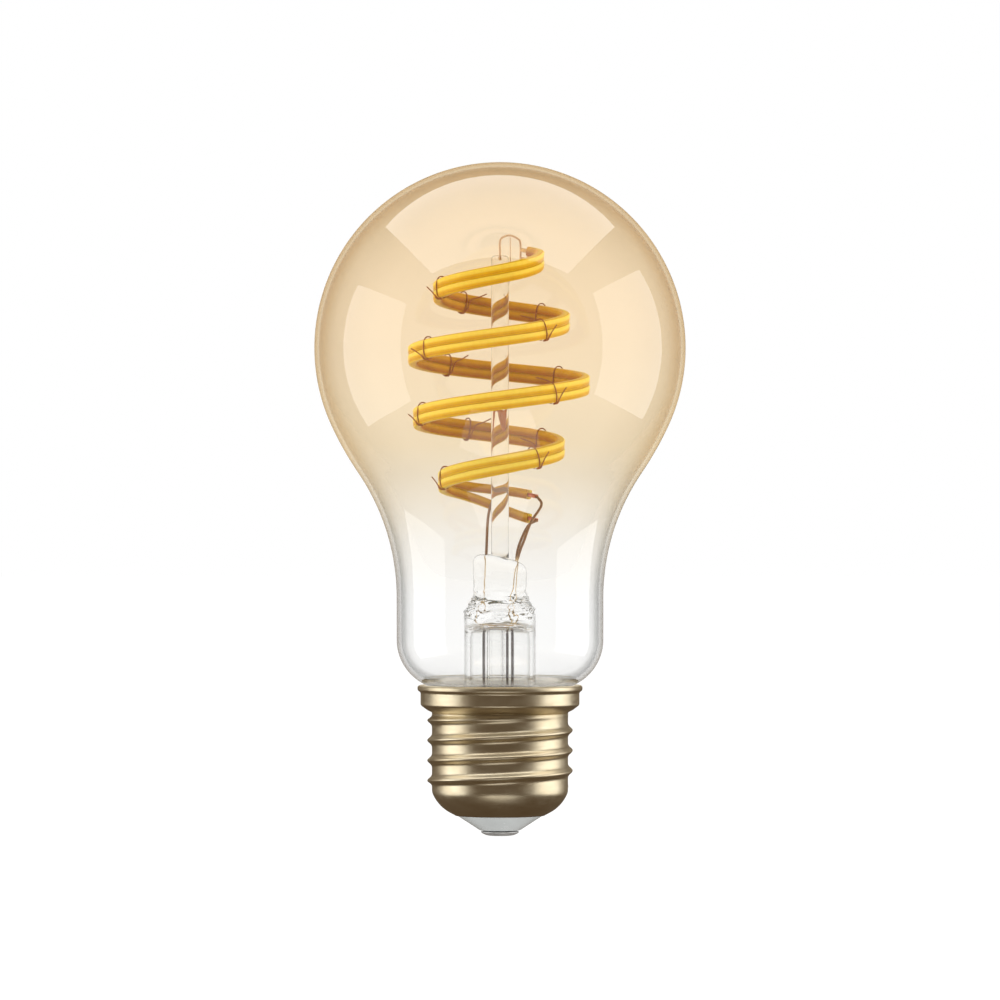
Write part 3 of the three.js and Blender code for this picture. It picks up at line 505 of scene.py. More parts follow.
# The stem is clear glass, so its edge ramps are painted shade only.
stem_glass = glass(
    "stem_glass", all_clear,
    [(0.0, WHITE), (0.5, (0.97, 0.97, 0.97)), (0.62, (0.72, 0.72, 0.715)), (0.7, (0.42, 0.42, 0.41)),
     (1.0, (0.25, 0.25, 0.24))],
    [(0.0, WHITE), (0.6, (0.98, 0.975, 0.97)), (0.85, (0.72, 0.70, 0.66)), (1.0, (0.5, 0.47, 0.43))],
)
tube_glass = glass("tube_glass", all_clear, thin_edge_shade, thin_edge_shade)
print("glass finishes:", amber_glass.name, stem_glass.name, tube_glass.name)

# %% [markdown]
# ## The glass envelope
# The bulb is blown into a mould, so its outline is a few arcs that run into each other: head, flank, waist,
# shoulder and neck. The outline is drawn once for the outside and once a wall's thickness further in, and
# the two are turned together into one closed wall, so that both faces of the glass refract and mirror.

# %% Envelope outline
HEAD_RADIUS = 33.4
HEAD_ARC_BELOW = 25
FLANK_RADIUS = 60
WAIST_ARC_RADIUS = 40
WAIST_RADIUS = 18.6
WAIST_HEIGHT = 42.8
SHOULDER_RADIUS = 9
GLASS_WALL = 0.8
NECK_RADIUS = 11.55
NECK_BOTTOM = 19.5
CAP_HEIGHT = 27.1
SKIRT_BORE = 14.0
GAP = 0.3
NECK_FLARE = 0.6

flank_angle = math.radians(HEAD_ARC_BELOW)
flank_x = (HEAD_RADIUS - FLANK_RADIUS) * math.cos(flank_angle)
waist_x = WAIST_RADIUS + WAIST_ARC_RADIUS
flank_rise = math.sqrt((FLANK_RADIUS + WAIST_ARC_RADIUS) ** 2 - (waist_x - flank_x) ** 2)
flank_z = WAIST_HEIGHT + flank_rise
HEAD_CENTRE = flank_z + (HEAD_RADIUS - FLANK_RADIUS) * math.sin(flank_angle)
flank_end = math.degrees(math.asin(flank_rise / (FLANK_RADIUS + WAIST_ARC_RADIUS)))
shoulder_x = WAIST_RADIUS - SHOULDER_RADIUS
shoulder_z = CAP_HEIGHT + math.sqrt((SHOULDER_RADIUS + GAP) ** 2 - (SKIRT_BORE - shoulder_x) ** 2)
CROWN = HEAD_CENTRE + HEAD_RADIUS
print("head centre", round(HEAD_CENTRE, 2), "crown", round(CROWN, 2), "shoulder", round(shoulder_z, 2))


def envelope_outline(offset):
    """The outline from the neck up to the crown, moved inwards by an offset."""
    reach = SHOULDER_RADIUS - offset
    neck = NECK_RADIUS - offset
    turn_in = -math.degrees(math.acos((neck + NECK_FLARE - shoulder_x) / reach))
    shoulder_end = shoulder_z + reach * math.sin(math.radians(turn_in))
    neck_part = smooth_outline([(neck, NECK_BOTTOM), (neck, NECK_BOTTOM + 4), (neck, shoulder_end - 1.1),
                                (neck + NECK_FLARE, shoulder_end)], 0.5)
    return [
        *neck_part[:-1],
        *arc((shoulder_x, shoulder_z), reach, turn_in, 0, 26)[:-1],
        *arc((waist_x, WAIST_HEIGHT), WAIST_ARC_RADIUS + offset, 180, 180 - flank_end, 34)[:-1],
        *arc((flank_x, flank_z), FLANK_RADIUS - offset, -flank_end, -HEAD_ARC_BELOW, 10)[:-1],
        *arc((0, HEAD_CENTRE), HEAD_RADIUS - offset, -HEAD_ARC_BELOW, 90, 64)[:-1],
        (0, CROWN - offset),
    ]


# %% Envelope
ENVELOPE_AROUND = 192
outside = [circle_ring(r, z, ENVELOPE_AROUND) for r, z in envelope_outline(0)]
inside = [circle_ring(r, z, ENVELOPE_AROUND) for r, z in reversed(envelope_outline(GLASS_WALL))]
envelope = lofted("envelope", outside + inside, closed_loop=True)
keep(envelope, "amber_glass", "glass_envelope", material=amber_glass)

# %% [markdown]
# ## The screw shell
# The cap is brass sheet, rolled until the thread stands out of it. The thread is a wave that climbs one
# pitch for each turn, so each ring of the mesh is pushed in and out by that wave, and the wave fades away
# at both ends, as rolled threads do. A flat sheet with a curve swept over it would need trimming at the
# ends; a stack of rings needs none.

# %% Screw shell
THREAD_CREST_RADIUS = 13.1
THREAD_DEPTH = 0.85
THREAD_PITCH = 3.629
THREAD_CREST_HEIGHT = 9.9
THREAD_BOTTOM = 8.4
THREAD_TOP = 22.2
THREAD_FADE = 1.5
THREAD_SHARPNESS = 3
SHELL_WALL = 0.3
SKIRT_RADIUS = 14.3
RIM_RADIUS = 14.85
LIP_RADIUS = 8
WALL_STEPS = 110
SHELL_AROUND = 192
root_radius = THREAD_CREST_RADIUS - THREAD_DEPTH


def thread_reach(height, turn):
    fade_in = smoothstep((height - THREAD_BOTTOM) / THREAD_FADE)
    fade_out = smoothstep((THREAD_TOP - height) / THREAD_FADE)
    phase = (height - THREAD_CREST_HEIGHT) / THREAD_PITCH - (turn - 0.5)
    return fade_in * fade_out * THREAD_DEPTH * (0.5 + 0.5 * math.cos(math.tau * phase)) ** THREAD_SHARPNESS


def shell_outline():
    lip = smooth_outline([(LIP_RADIUS, 3.6), (9.9, 4.7), (11.3, 6.1), (root_radius - 0.1, 7.6),
                          (root_radius, THREAD_BOTTOM)], 0.35)
    rows = [(root_radius, mix(THREAD_BOTTOM, THREAD_TOP, i / WALL_STEPS)) for i in range(1, WALL_STEPS)]
    skirt = rounded([
        (0, 0), (root_radius, THREAD_TOP), (THREAD_CREST_RADIUS, 22.6), (13.5, 22.9), (SKIRT_RADIUS, 23.5),
        (SKIRT_RADIUS, 25.8), (RIM_RADIUS, 26.15), (RIM_RADIUS, 26.85), (RIM_RADIUS - 0.35, CAP_HEIGHT),
        (SKIRT_BORE, CAP_HEIGHT), (0, CAP_HEIGHT)], 0.3, 5)[1:-1]
    return lip + rows + skirt


def thread_ring(radius, height):
    return circle_ring(radius, height, SHELL_AROUND, reach=lambda turn: thread_reach(height, turn))


outer_rows = shell_outline()
inner_rows = [(LIP_RADIUS - SHELL_WALL, 3.78)]
inner_rows += [(r - SHELL_WALL, z + 0.1) for r, z in outer_rows[2:] if z < 25.6]
inner_rows = inner_rows[::2] + [(SKIRT_BORE, 25.9)]
shell = lofted("screw_shell", [thread_ring(*row) for row in outer_rows + inner_rows[::-1]], closed_loop=True)

# %% [markdown]
# The brass is plated and then handled, so its gloss is uneven: long soft streaks run round it from rolling,
# and the colour drifts between a pale and a deep brass.

# %% Brass finish
brass, tree, shader, _ = new_material("cap_brass")
tone = pattern(tree, 5, (1, 1, 0.6))
streaks = pattern(tree, 0.5, (5, 5, 1))
feed(tree, shader, {
    "Base Color": two_tone(tree, tone, (0.68, 0.57, 0.38), (0.78, 0.69, 0.50)),
    "Roughness": value_range(tree, streaks, 0.33, 0.43),
    "Metallic": 1,
})
bump(tree, shader, pattern(tree, 0.12, detail=2), 0.2, 0.02)
keep(shell, "cap_brass", "cap_shell", material=brass)

# %% [markdown]
# ## Insulator, contact and cement
# A glassy ring closes the shell's lower end and holds the centre contact. Pale cement fills the cap's mouth
# and shows through the clear neck. All three are turned outlines with eased edges.

# %% Insulator, contact and cement
insulator = turned("glass_insulator", rounded([
    (1.8, 0.95), (3.6, 0.95), (7.62, 3.56), (7.62, 4.35), (8.4, 5.2), (8.4, 5.6), (1.8, 5.6)], 0.2), 128)
insulator_finish = finish("insulator", (0.50, 0.52, 0.51), (0.58, 0.60, 0.59), 6, (0.18, 0.3), coat=0.5)
keep(insulator, "insulator", "cap_insulator", material=insulator_finish)

contact = turned("contact_disc", [(0, 0), *rounded([
    (0, 0), (1.9, 0), (2.6, 0.12), (3.35, 0.5), (3.4, 0.8), (1.5, 0.8), (1.5, 1.9), (0, 1.9)], 0.15)[1:-1],
    (0, 1.9)])
contact_finish = finish("contact_plate", (0.46, 0.46, 0.45), (0.66, 0.66, 0.64), 1.2, (0.35, 0.5),
                        metallic=0.6, bump_mm=0.03)
keep(contact, "contact_plate", "centre_contact", material=contact_finish)

# The cement's top follows the underside of the glass, a little below it.
cement = turned("cement_ring", rounded([
    (11.85, 23.6), (13.8, 23.6), (13.96, 26.95), (13.4, 26.9), (12.8, 26.72), (12.2, 26.45),
    (11.85, 26.2)], 0.1))
cement_finish = finish("cement", (0.92, 0.92, 0.91), (0.97, 0.97, 0.96), 0.8, (0.8, 0.95), bump_mm=0.1)
keep(cement, "cement", "basing_cement", material=cement_finish)

# %% [markdown]
# ## The glass stem
# The stem is a flared tube whose top was pinched flat round the lead wires while it was soft. The pinch is
# lofted: its rings start round, turn into a soft rectangle and carry the creases that the pinching jaws
# leave at the shoulders.

# %% Flare and pinch
TUBE_RADIUS = 6.45
TUBE_BOTTOM = 27.2
PINCH_TOP = 50.2
PINCH_SLOPE = 0.25
PINCH_HALF_X = 4.85
PINCH_HALF_Y = 2.7
PINCH_POWER = 4.2
STEM_AROUND = 96
FLARE_RADIUS = 10.45
FLARE_BOTTOM = 19.2
SHOULDER_START = 38.6
CREASE_HEIGHT = 42.0
CREASE_DEPTH = 0.2


def pinch_surface(x):
    return PINCH_TOP - PINCH_SLOPE * max(x, -2.2)


def soft_rectangle(half_x, half_y, power, height, crease=0.0, seed=0.0):
    ring = []
    for i in range(STEM_AROUND):
        angle = math.tau * i / STEM_AROUND
        c, s = math.cos(angle), math.sin(angle)
        x = half_x * math.copysign(abs(c) ** (2 / power), c)
        y = half_y * math.copysign(abs(s) ** (2 / power), s)
        place = Vector((x * 0.5 + seed, y * 0.7, height * 0.75 - x * 0.25))
        dent = crease * noise.fractal(place, 0.6, 2.0, 3)
        ring.append((x * (1 + dent), y * (1 + dent), height))
    return ring


def stem_rings():
    rings = []
    for i in range(25):
        t = i / 24
        spread = (FLARE_RADIUS - TUBE_RADIUS) * (1 - t) ** 2.2
        rings.append((TUBE_RADIUS + spread, mix(FLARE_BOTTOM, TUBE_BOTTOM, t)))
    outer_rings = [circle_ring(11.3, 19.05, STEM_AROUND)]
    outer_rings += [circle_ring(r, z, STEM_AROUND) for r, z in rings]
    outer_rings += [circle_ring(TUBE_RADIUS, z, STEM_AROUND) for z in (30, 33, 36, 38, SHOULDER_START)]
    shoulder = [(SHOULDER_START, TUBE_RADIUS, TUBE_RADIUS), (39.4, 6.4, 6.2), (40.2, 6.2, 5.6),
                (41.0, 5.75, 4.4), (41.8, 5.15, 3.3), (42.6, 4.75, 2.75), (43.6, 4.72, 2.6),
                (47.2, PINCH_HALF_X, PINCH_HALF_Y)]
    for (z0, a0, b0), (z1, a1, b1) in zip(shoulder, shoulder[1:]):
        steps = max(1, round((z1 - z0) / 0.2))
        for i in range(1, steps + 1):
            t = i / steps
            z = mix(z0, z1, t)
            roundness = mix(2, PINCH_POWER, smoothstep((z - SHOULDER_START) / 4))
            crease = CREASE_DEPTH * math.exp(-((z - CREASE_HEIGHT) / 1.6) ** 2) + 0.014
            outer_rings.append(soft_rectangle(mix(a0, a1, t), mix(b0, b1, t), roundness, z, crease, 3.0))
    for share in (1.0, 0.99, 0.965, 0.92, 0.85, 0.75, 0.62, 0.45, 0.3, 0.12):
        ring = soft_rectangle(PINCH_HALF_X * share, PINCH_HALF_Y * share, mix(2.6, PINCH_POWER, share), 0)
        edge = 1.5 * (1 - math.sqrt(max(0.0, 1 - max(0.0, (share - 0.62) / 0.38) ** 2)))
        outer_rings.append([(x, y, pinch_surface(x) - edge
                             + 0.25 * noise.noise(Vector((x * 0.6, y * 0.6, 4.0)))) for x, y, _ in ring])
    outer_rings.append([(0, 0, pinch_surface(0) + 0.1)])
    inner_rings = [[(0, 0, SHOULDER_START)]]
    inner_rings += [circle_ring(r, z, STEM_AROUND) for r, z in
                    ((1.5, 38.55), (3.0, 38.4), (4.2, 38.1), (5.0, 37.5), (5.4, 36.7), (5.45, 35),
                     (5.45, 31))]
    inner_rings += [circle_ring(r - 1, z, STEM_AROUND) for r, z in reversed(rings)]
    inner_rings += [circle_ring(10.3, 18.5, STEM_AROUND), circle_ring(11.35, 18.5, STEM_AROUND)]
    return outer_rings + inner_rings


stem = lofted("stem", stem_rings(), closed_loop=True)
keep(stem, "stem_glass", "stem_flare", material=stem_glass)

# %% Exhaust tube and rod
EXHAUST_X = -0.85
# Extra rings close to each end keep the long wall's shading level, so that it refracts as a straight tube.
exhaust = turned("exhaust", [
    (0, 15.2), (0.5, 15.35), (1.05, 15.8), (1.5, 16.5), (1.72, 17.2), (1.75, 17.6), (1.75, 18), (1.75, 37.5),
    (1.75, 37.8), (1.68, 37.9), (1.22, 37.9), (1.15, 37.8), (1.15, 37.5), (1.15, 18), (1.15, 17.6),
    (0.8, 16.8), (0, 16.4)], 64, (EXHAUST_X, 0))
keep(exhaust, "stem_glass", "exhaust_tube", material=tube_glass)

ROD_RADIUS = 1.6
ROD_TOP = 104.4
ROD_AROUND = 64
ROD_CORNER = 0.75
ROD_GAP = 0.17
rod_rings = [[(0, 0, pinch_surface(0) + ROD_GAP)]]
for share in (0.5, 0.9, 1.0):
    level_ring = circle_ring(ROD_RADIUS * share, 0, ROD_AROUND)
    rod_rings.append([(x, y, pinch_surface(x) + ROD_GAP) for x, y, _ in level_ring])
rod_rings += [circle_ring(ROD_RADIUS, z, ROD_AROUND) for z in
              [mix(51.5, ROD_TOP - 0.8, i / 40) for i in range(41)]]
rod_rings += [circle_ring(r, z, ROD_AROUND) for r, z in
              arc((ROD_RADIUS - ROD_CORNER, ROD_TOP - ROD_CORNER), ROD_CORNER, 0, 80, 7)[1:]]
rod_rings += [circle_ring(0.4, ROD_TOP - 0.02, ROD_AROUND), [(0, 0, ROD_TOP - 0.06)]]
rod = lofted("rod", rod_rings)
keep(rod, "stem_glass", "support_rod", material=stem_glass)

# %% [markdown]
# ## The filament coil
# Two soft strands run side by side round the rod in four turns. Each is a strip of tiny light-emitting
# chips under a yellow silicone that holds the phosphor. The coil follows a rule: its radius eases from one
# half turn to the next while it climbs evenly, so the path is calculated and the strand tree sweeps a
# soft-cornered section along it. The section stays upright, because the tree turns it to Z.

# %% Coil path
COIL_BEND_RADII = [10.4, 10.9, 14.9, 15.4, 15.8, 11.8, 11.3, 7.2]
FIRST_BEND_Z = 64.0
HALF_PITCH = (ROD_TOP - 0.8 - FIRST_BEND_Z) / (len(COIL_BEND_RADII) - 1)
COIL_START = 52
COIL_START_RADIUS = 8.6
COIL_END_RADIUS = 6.5
COIL_TILT = 0.016
COIL_END_RISE = 0.8
COIL_END_RUN = 36
COIL_END = len(COIL_BEND_RADII) * 180 + COIL_END_RUN
STRAND_SPACING = 1.66


def coil_radius(angle):
    if angle < 180:
        share = smoothstep((angle - COIL_START) / (180 - COIL_START))
        return mix(COIL_START_RADIUS, COIL_BEND_RADII[0], share)
    bend = min(int(angle // 180), len(COIL_BEND_RADII))
    start = COIL_BEND_RADII[bend - 1]
    if bend == len(COIL_BEND_RADII):
        return mix(start, COIL_END_RADIUS, min(1, (angle - bend * 180) / COIL_END_RUN))
    return mix(start, COIL_BEND_RADII[bend], smoothstep((angle - bend * 180) / 180))


def coil_point(angle):
    radius = coil_radius(angle)
    x, y = radius * math.cos(math.radians(angle)), radius * math.sin(math.radians(angle))
    past = max(0, angle - len(COIL_BEND_RADII) * 180)
    rise = ((angle - past) / 180 - 1) * HALF_PITCH + past / COIL_END_RUN * COIL_END_RISE
    return Vector((x, y, FIRST_BEND_Z + rise + COIL_TILT * x))


def strand_point(angle, side):
    splay = smoothstep((COIL_START + 90 - angle) / 90)
    part = 0.7 * splay if side > 0 else -2 * splay
    return coil_point(angle) + Vector((0, 0, side * STRAND_SPACING / 2 + part))


# %% [markdown]
# The strand's finish is a satin silicone. Its phosphor is a little uneven along the length, so the colour
# follows the length that the tree stored, with soft marks at the spacing of the chips, and the light sinks
# in slightly, which subsurface scattering gives.

# %% Strand finish
CHIP_SPACING = 1.2

strand_finish, tree, shader, _ = new_material("filament_silicone")
section = add_node(tree, "ShaderNodeAttribute", attribute_name="section").outputs["Vector"]
across = add_node(tree, "ShaderNodeSeparateXYZ", {"Vector": section}).outputs
cloud = pattern(tree, 2.2, detail=3)
middle = two_tone(tree, cloud, (0.80, 0.53, 0.003), (0.86, 0.60, 0.006))
# The inner side is a darker ochre: partly the chips' substrate showing through, partly painted shade of the
# coil's inner faces.
inner_substrate_and_shade = two_tone(tree, cloud, (0.55, 0.30, 0.003), (0.66, 0.38, 0.005))
upwards = value_range(tree, across["Y"], 1, 0, -0.95, -0.35)
outer_side = mixed(tree, upwards, middle, (0.76, 0.60, 0.02, 1))
outwards = value_range(tree, across["X"], 0, 1, -0.45, 0.35)
both_sides = mixed(tree, outwards, inner_substrate_and_shade, outer_side)
# Round the section, from the inner ridge (0) to the outer one (1), fine lines run along the strand: a brown
# streak where the chips' substrate shows inside, and outside a pale painted highlight on the ridge between
# two valleys of painted shade.
near = add_node(tree, "ShaderNodeVectorMath", {0: section, 1: RIDGE_DIRECTION}, operation="DOT_PRODUCT")
round_section = value_range(tree, near.outputs["Value"], 0, 1, -1, 1)
streak_and_valley_shade = colour_ramp(tree, round_section, [
    (0.0, (0.68, 0.46, 0.5)), (0.012, (0.72, 0.52, 0.6)), (0.04, WHITE), (0.78, WHITE),
    (0.90, (0.80, 0.62, 0.4)), (0.96, (0.95, 0.88, 0.8))])
lined = mixed(tree, 1, both_sides, streak_and_valley_shade, "MULTIPLY")
# Painted highlight: the outer ridge is painted a pale yellow.
with_ridge_highlight = mixed(tree, value_range(tree, round_section, 0, 1, 0.965, 0.985), lined, (0.97, 0.80, 0.12, 1))
length = add_node(tree, "ShaderNodeAttribute", attribute_name="along_length").outputs["Fac"]
wave = calculated(tree, "SINE", calculated(tree, "MULTIPLY", length, math.tau / (CHIP_SPACING * MM)))
marks = value_range(tree, wave, 0.0, 0.08, 0.2, 1.0)
fine = pattern(tree, 0.6)
feed(tree, shader, {
    "Base Color": mixed(tree, marks, with_ridge_highlight, (0.75, 0.5, 0.3, 1), "MULTIPLY"),
    "Roughness": value_range(tree, fine, 0.34, 0.46),
    "Specular IOR Level": 0.18,
    "Subsurface Weight": 0.3,
    "Subsurface Radius": (1.0, 0.6, 0.1),
    "Subsurface Scale": 0.2 * MM,
})
bump(tree, shader, fine, 0.3, 0.02)

# %% Strands
# The two strands are stuck together, so each is pressed slightly into the other along their shared edge.
STRAND_HALF_WIDTH = 0.72
STRAND_HALF_HEIGHT = 0.88
STRAND_SIDES = 48
STRAND_STEPS = 620
strands = {"warm": 1, "cool": -1}
for name, side in strands.items():
    path = [strand_point(mix(COIL_START, COIL_END, i / STRAND_STEPS), side) for i in range(STRAND_STEPS + 1)]
    strand = swept(f"{name}_strand", [path], STRAND_HALF_WIDTH, STRAND_HALF_HEIGHT, STRAND_SIDES,
                   strand_finish, STRAND_TREE)
    places = [vertex.co for vertex in strand.data.vertices]
    size = [max(axis) - min(axis) for axis in zip(*places)]
    print(name, "strand box", [round(s / MM, 2) for s in size])
    keep(strand, "filament_silicone", f"{name}_filament")

# %% [markdown]
# ## Terminals
# Each strand ends in a small copper tab, folded from strip. It has eased edges and follows the strand's last
# direction. The upper tabs are tinned, so they are paler.

# %% Terminals
TERMINAL_LENGTH = 1.4
TERMINAL_HALF_WIDTH = 0.5
TERMINAL_HALF_HEIGHT = 0.36


def terminal_frame(side, at_start):
    end = COIL_START if at_start else COIL_END
    tip = strand_point(end, side)
    along = (tip - strand_point(end + (2 if at_start else -2), side)).normalized()
    return tip, along


copper = finish("terminal_copper", (0.42, 0.12, 0.06), (0.68, 0.25, 0.13), 0.8, (0.3, 0.5), metallic=1,
                bump_mm=0.03)
pale_copper = finish("terminal_tinned", (0.66, 0.44, 0.16), (0.84, 0.62, 0.30), 0.8, (0.35, 0.5),
                     metallic=0.3, bump_mm=0.03)
for name, side in strands.items():
    for level, at_start, metal in (("lower", True, copper), ("upper", False, pale_copper)):
        tip, along = terminal_frame(side, at_start)
        path = [tip + along * d for d in (-0.25, 0.1, 0.5, 1.0, 1.4, 1.65, 1.72)]
        tab = swept(f"{name}_tab_{level}", [path], TERMINAL_HALF_WIDTH, TERMINAL_HALF_HEIGHT, 16, metal,
                    STRAND_TREE)
        keep(tab, "terminal_copper", f"{name}_terminal_{level}")

# %% [markdown]
# ## Leads and hook
# The wires are drawn through chosen points, with a smooth curve between them. Where a wire passes through
# glass it is a thinner copper-clad wire, because glass only seals to a wire that shrinks as it does. The
# wire's
# colour follows the height: dark low down, pale copper where it runs in the pinch, which is partly a painted
# glint, and reddish brown above.

# %% Wire finishes
lead_finish, tree, shader, _ = new_material("lead_wire")
climbed = value_range(tree, object_height(tree), 0, 1, 30 * MM, 110 * MM)
# The pale copper band in the pinch is partly the copper-clad wire's own colour and partly a painted glint.
height_tones_and_glint = colour_ramp(tree, climbed, [
    (0.0, (0.07, 0.05, 0.045)), (0.10, (0.07, 0.05, 0.045)), (0.12, (0.85, 0.62, 0.32)),
    (0.245, (0.85, 0.62, 0.32)), (0.255, (0.26, 0.13, 0.05)), (0.45, (0.36, 0.19, 0.07)),
    (0.49, (0.50, 0.16, 0.03)), (0.85, (0.50, 0.20, 0.06)), (0.925, (0.80, 0.56, 0.32))])
stains = value_range(tree, pattern(tree, 1.5), 0, 0.5)
scratches = pattern(tree, 0.3)
feed(tree, shader, {
    "Base Color": mixed(tree, stains, height_tones_and_glint, (0.6, 0.55, 0.5, 1), "MULTIPLY"),
    "Roughness": value_range(tree, scratches, 0.35, 0.5),
    "Metallic": 0.15,
})
bump(tree, shader, scratches, 0.3, 0.01)
tie_finish = finish("tie_wire", (0.28, 0.08, 0.005), (0.42, 0.14, 0.012), 0.8, (0.4, 0.55), bump_mm=0.01)
print("wire finishes:", lead_finish.name, tie_finish.name)

# %% Leads and hook
LEAD_RADIUS = 0.25
THIN_SHARE = 0.3
JOINT_GAP = 0.3
HOOK_RADIUS = 0.18
HOOK_CROWN = ROD_TOP + 3.75
upper_warm, upper_cool = terminal_frame(1, False), terminal_frame(-1, False)
leg = upper_warm[0] + upper_warm[1] * (JOINT_GAP + TERMINAL_LENGTH + JOINT_GAP + LEAD_RADIUS)
hook_middle = Vector((leg.x / 2, leg.y / 2, HOOK_CROWN))
hook = swept("hook", [spline_through([
    (0, 0, ROD_TOP - 0.9), (0, 0, ROD_TOP + 0.3), (0, 0, HOOK_CROWN - 1.2),
    (leg.x * 0.15, leg.y * 0.15, HOOK_CROWN - 0.4), hook_middle,
    (leg.x * 0.87, leg.y * 0.87, HOOK_CROWN - 0.5), (leg.x, leg.y, HOOK_CROWN - 1.4),
    (leg.x, leg.y, upper_cool[0].z - 0.45)], 0.3)], HOOK_RADIUS, HOOK_RADIUS, 14, lead_finish)
keep(hook, "lead_wire", "top_hook")

LEAD_FOOT = 8.8
CHANNEL_BOTTOM = 37.6
behind_rod = ROD_RADIUS + GAP + LEAD_RADIUS


def climb(fraction):
    return FIRST_BEND_Z + (ROD_TOP - FIRST_BEND_Z) * fraction


def lead_end(side):
    tip, along = terminal_frame(side, True)
    return tip + along * (JOINT_GAP + TERMINAL_LENGTH + 0.1)


warm_end, cool_end = lead_end(1), lead_end(-1)
leads = {
    "common": ((-2.98, 0.99), (-2.45, 0.6), [
        (-2.1, 1.2, PINCH_TOP + 7.5), (-1.1, behind_rod, 61.0), (0.1, behind_rod, 62.6),
        (0.75, behind_rod, 63.6)]),
    "warm": ((2.21, -0.94), (3.25, -0.9), [
        (4.4, -0.2, PINCH_TOP + 3.2), (5.6, 0.9, PINCH_TOP + 6.4),
        (warm_end.x + 0.8, warm_end.y - 1.6, warm_end.z - 1.6), warm_end]),
    "cool": ((1.33, 0.88), (2.95, 0.9), [
        (3.6, 1.6, PINCH_TOP + 2.6), (cool_end.x - 1.6, cool_end.y - 1.6, cool_end.z - 1), cool_end]),
}
# Above the pinch the common lead goes on as a thinner wire, welded on behind the rod.
thin_wire = spline_through([
    (x, behind_rod, z) for x, z in (
        (0.6, 63.4), (0.95, 65.5), (0.85, 67.5), (0.5, 69.4), (0.24, 71.4), (0.12, 73.2), (0.04, 75.2),
        (-0.05, 76.8), (-0.7, 78.6), (-0.95, 82), (-0.95, 87), (-0.7, 89.0), (0.1, 90.6), (0.8, 92.2),
        (1.1, 95))] + [
    (hook_middle.x, behind_rod, climb(0.94)), (hook_middle.x, max(behind_rod, hook_middle.y), ROD_TOP - 0.3),
    (hook_middle.x, hook_middle.y, HOOK_CROWN - 0.35)], 0.4)


def wire_share(number, height):
    """The second path is thin all along, the first one only inside the pinch."""
    if number == 1:
        return THIN_SHARE
    in_glass = smoothstep((height - 38.2) / 1.2) * smoothstep((PINCH_TOP + 0.2 - height) / 1.2)
    return mix(1.0, THIN_SHARE, in_glass)


for name, (below, above, onwards) in leads.items():
    low = Vector((*below, CHANNEL_BOTTOM))
    high = Vector((*above, pinch_surface(above[0]) + 0.6))
    path = spline_through([
        (*below, LEAD_FOOT), (*below, (LEAD_FOOT + CHANNEL_BOTTOM) / 2), (*below, CHANNEL_BOTTOM - 1.5), low,
        low.lerp(high, 0.5), high, *onwards], 0.4)
    paths = [path, thin_wire] if name == "common" else [path]
    wire = swept(f"{name}_wire", paths, LEAD_RADIUS, LEAD_RADIUS, 12, lead_finish, thinness=wire_share)
    keep(wire, "lead_wire", f"{name}_lead")

# %% [markdown]
# ## The ties
# Thin copper wire binds the two strands together at thirteen places. Each tie is one loop, twisted shut
# under the strands, with its tail bent away by hand, so no two are alike. The path of each is calculated
# from the coil's own direction, and the wire tree sweeps all of them.

# %% Ties
TIE_RADIUS = 0.11
TWIST_RADIUS = 0.18
TWIST_STEPS = 11
LOOP_STEPS = 48
TIE_ANGLES = [199, 305, 409, 477, 562, 667, 766, 849, 934, 1026, 1130, 1208, 1280]


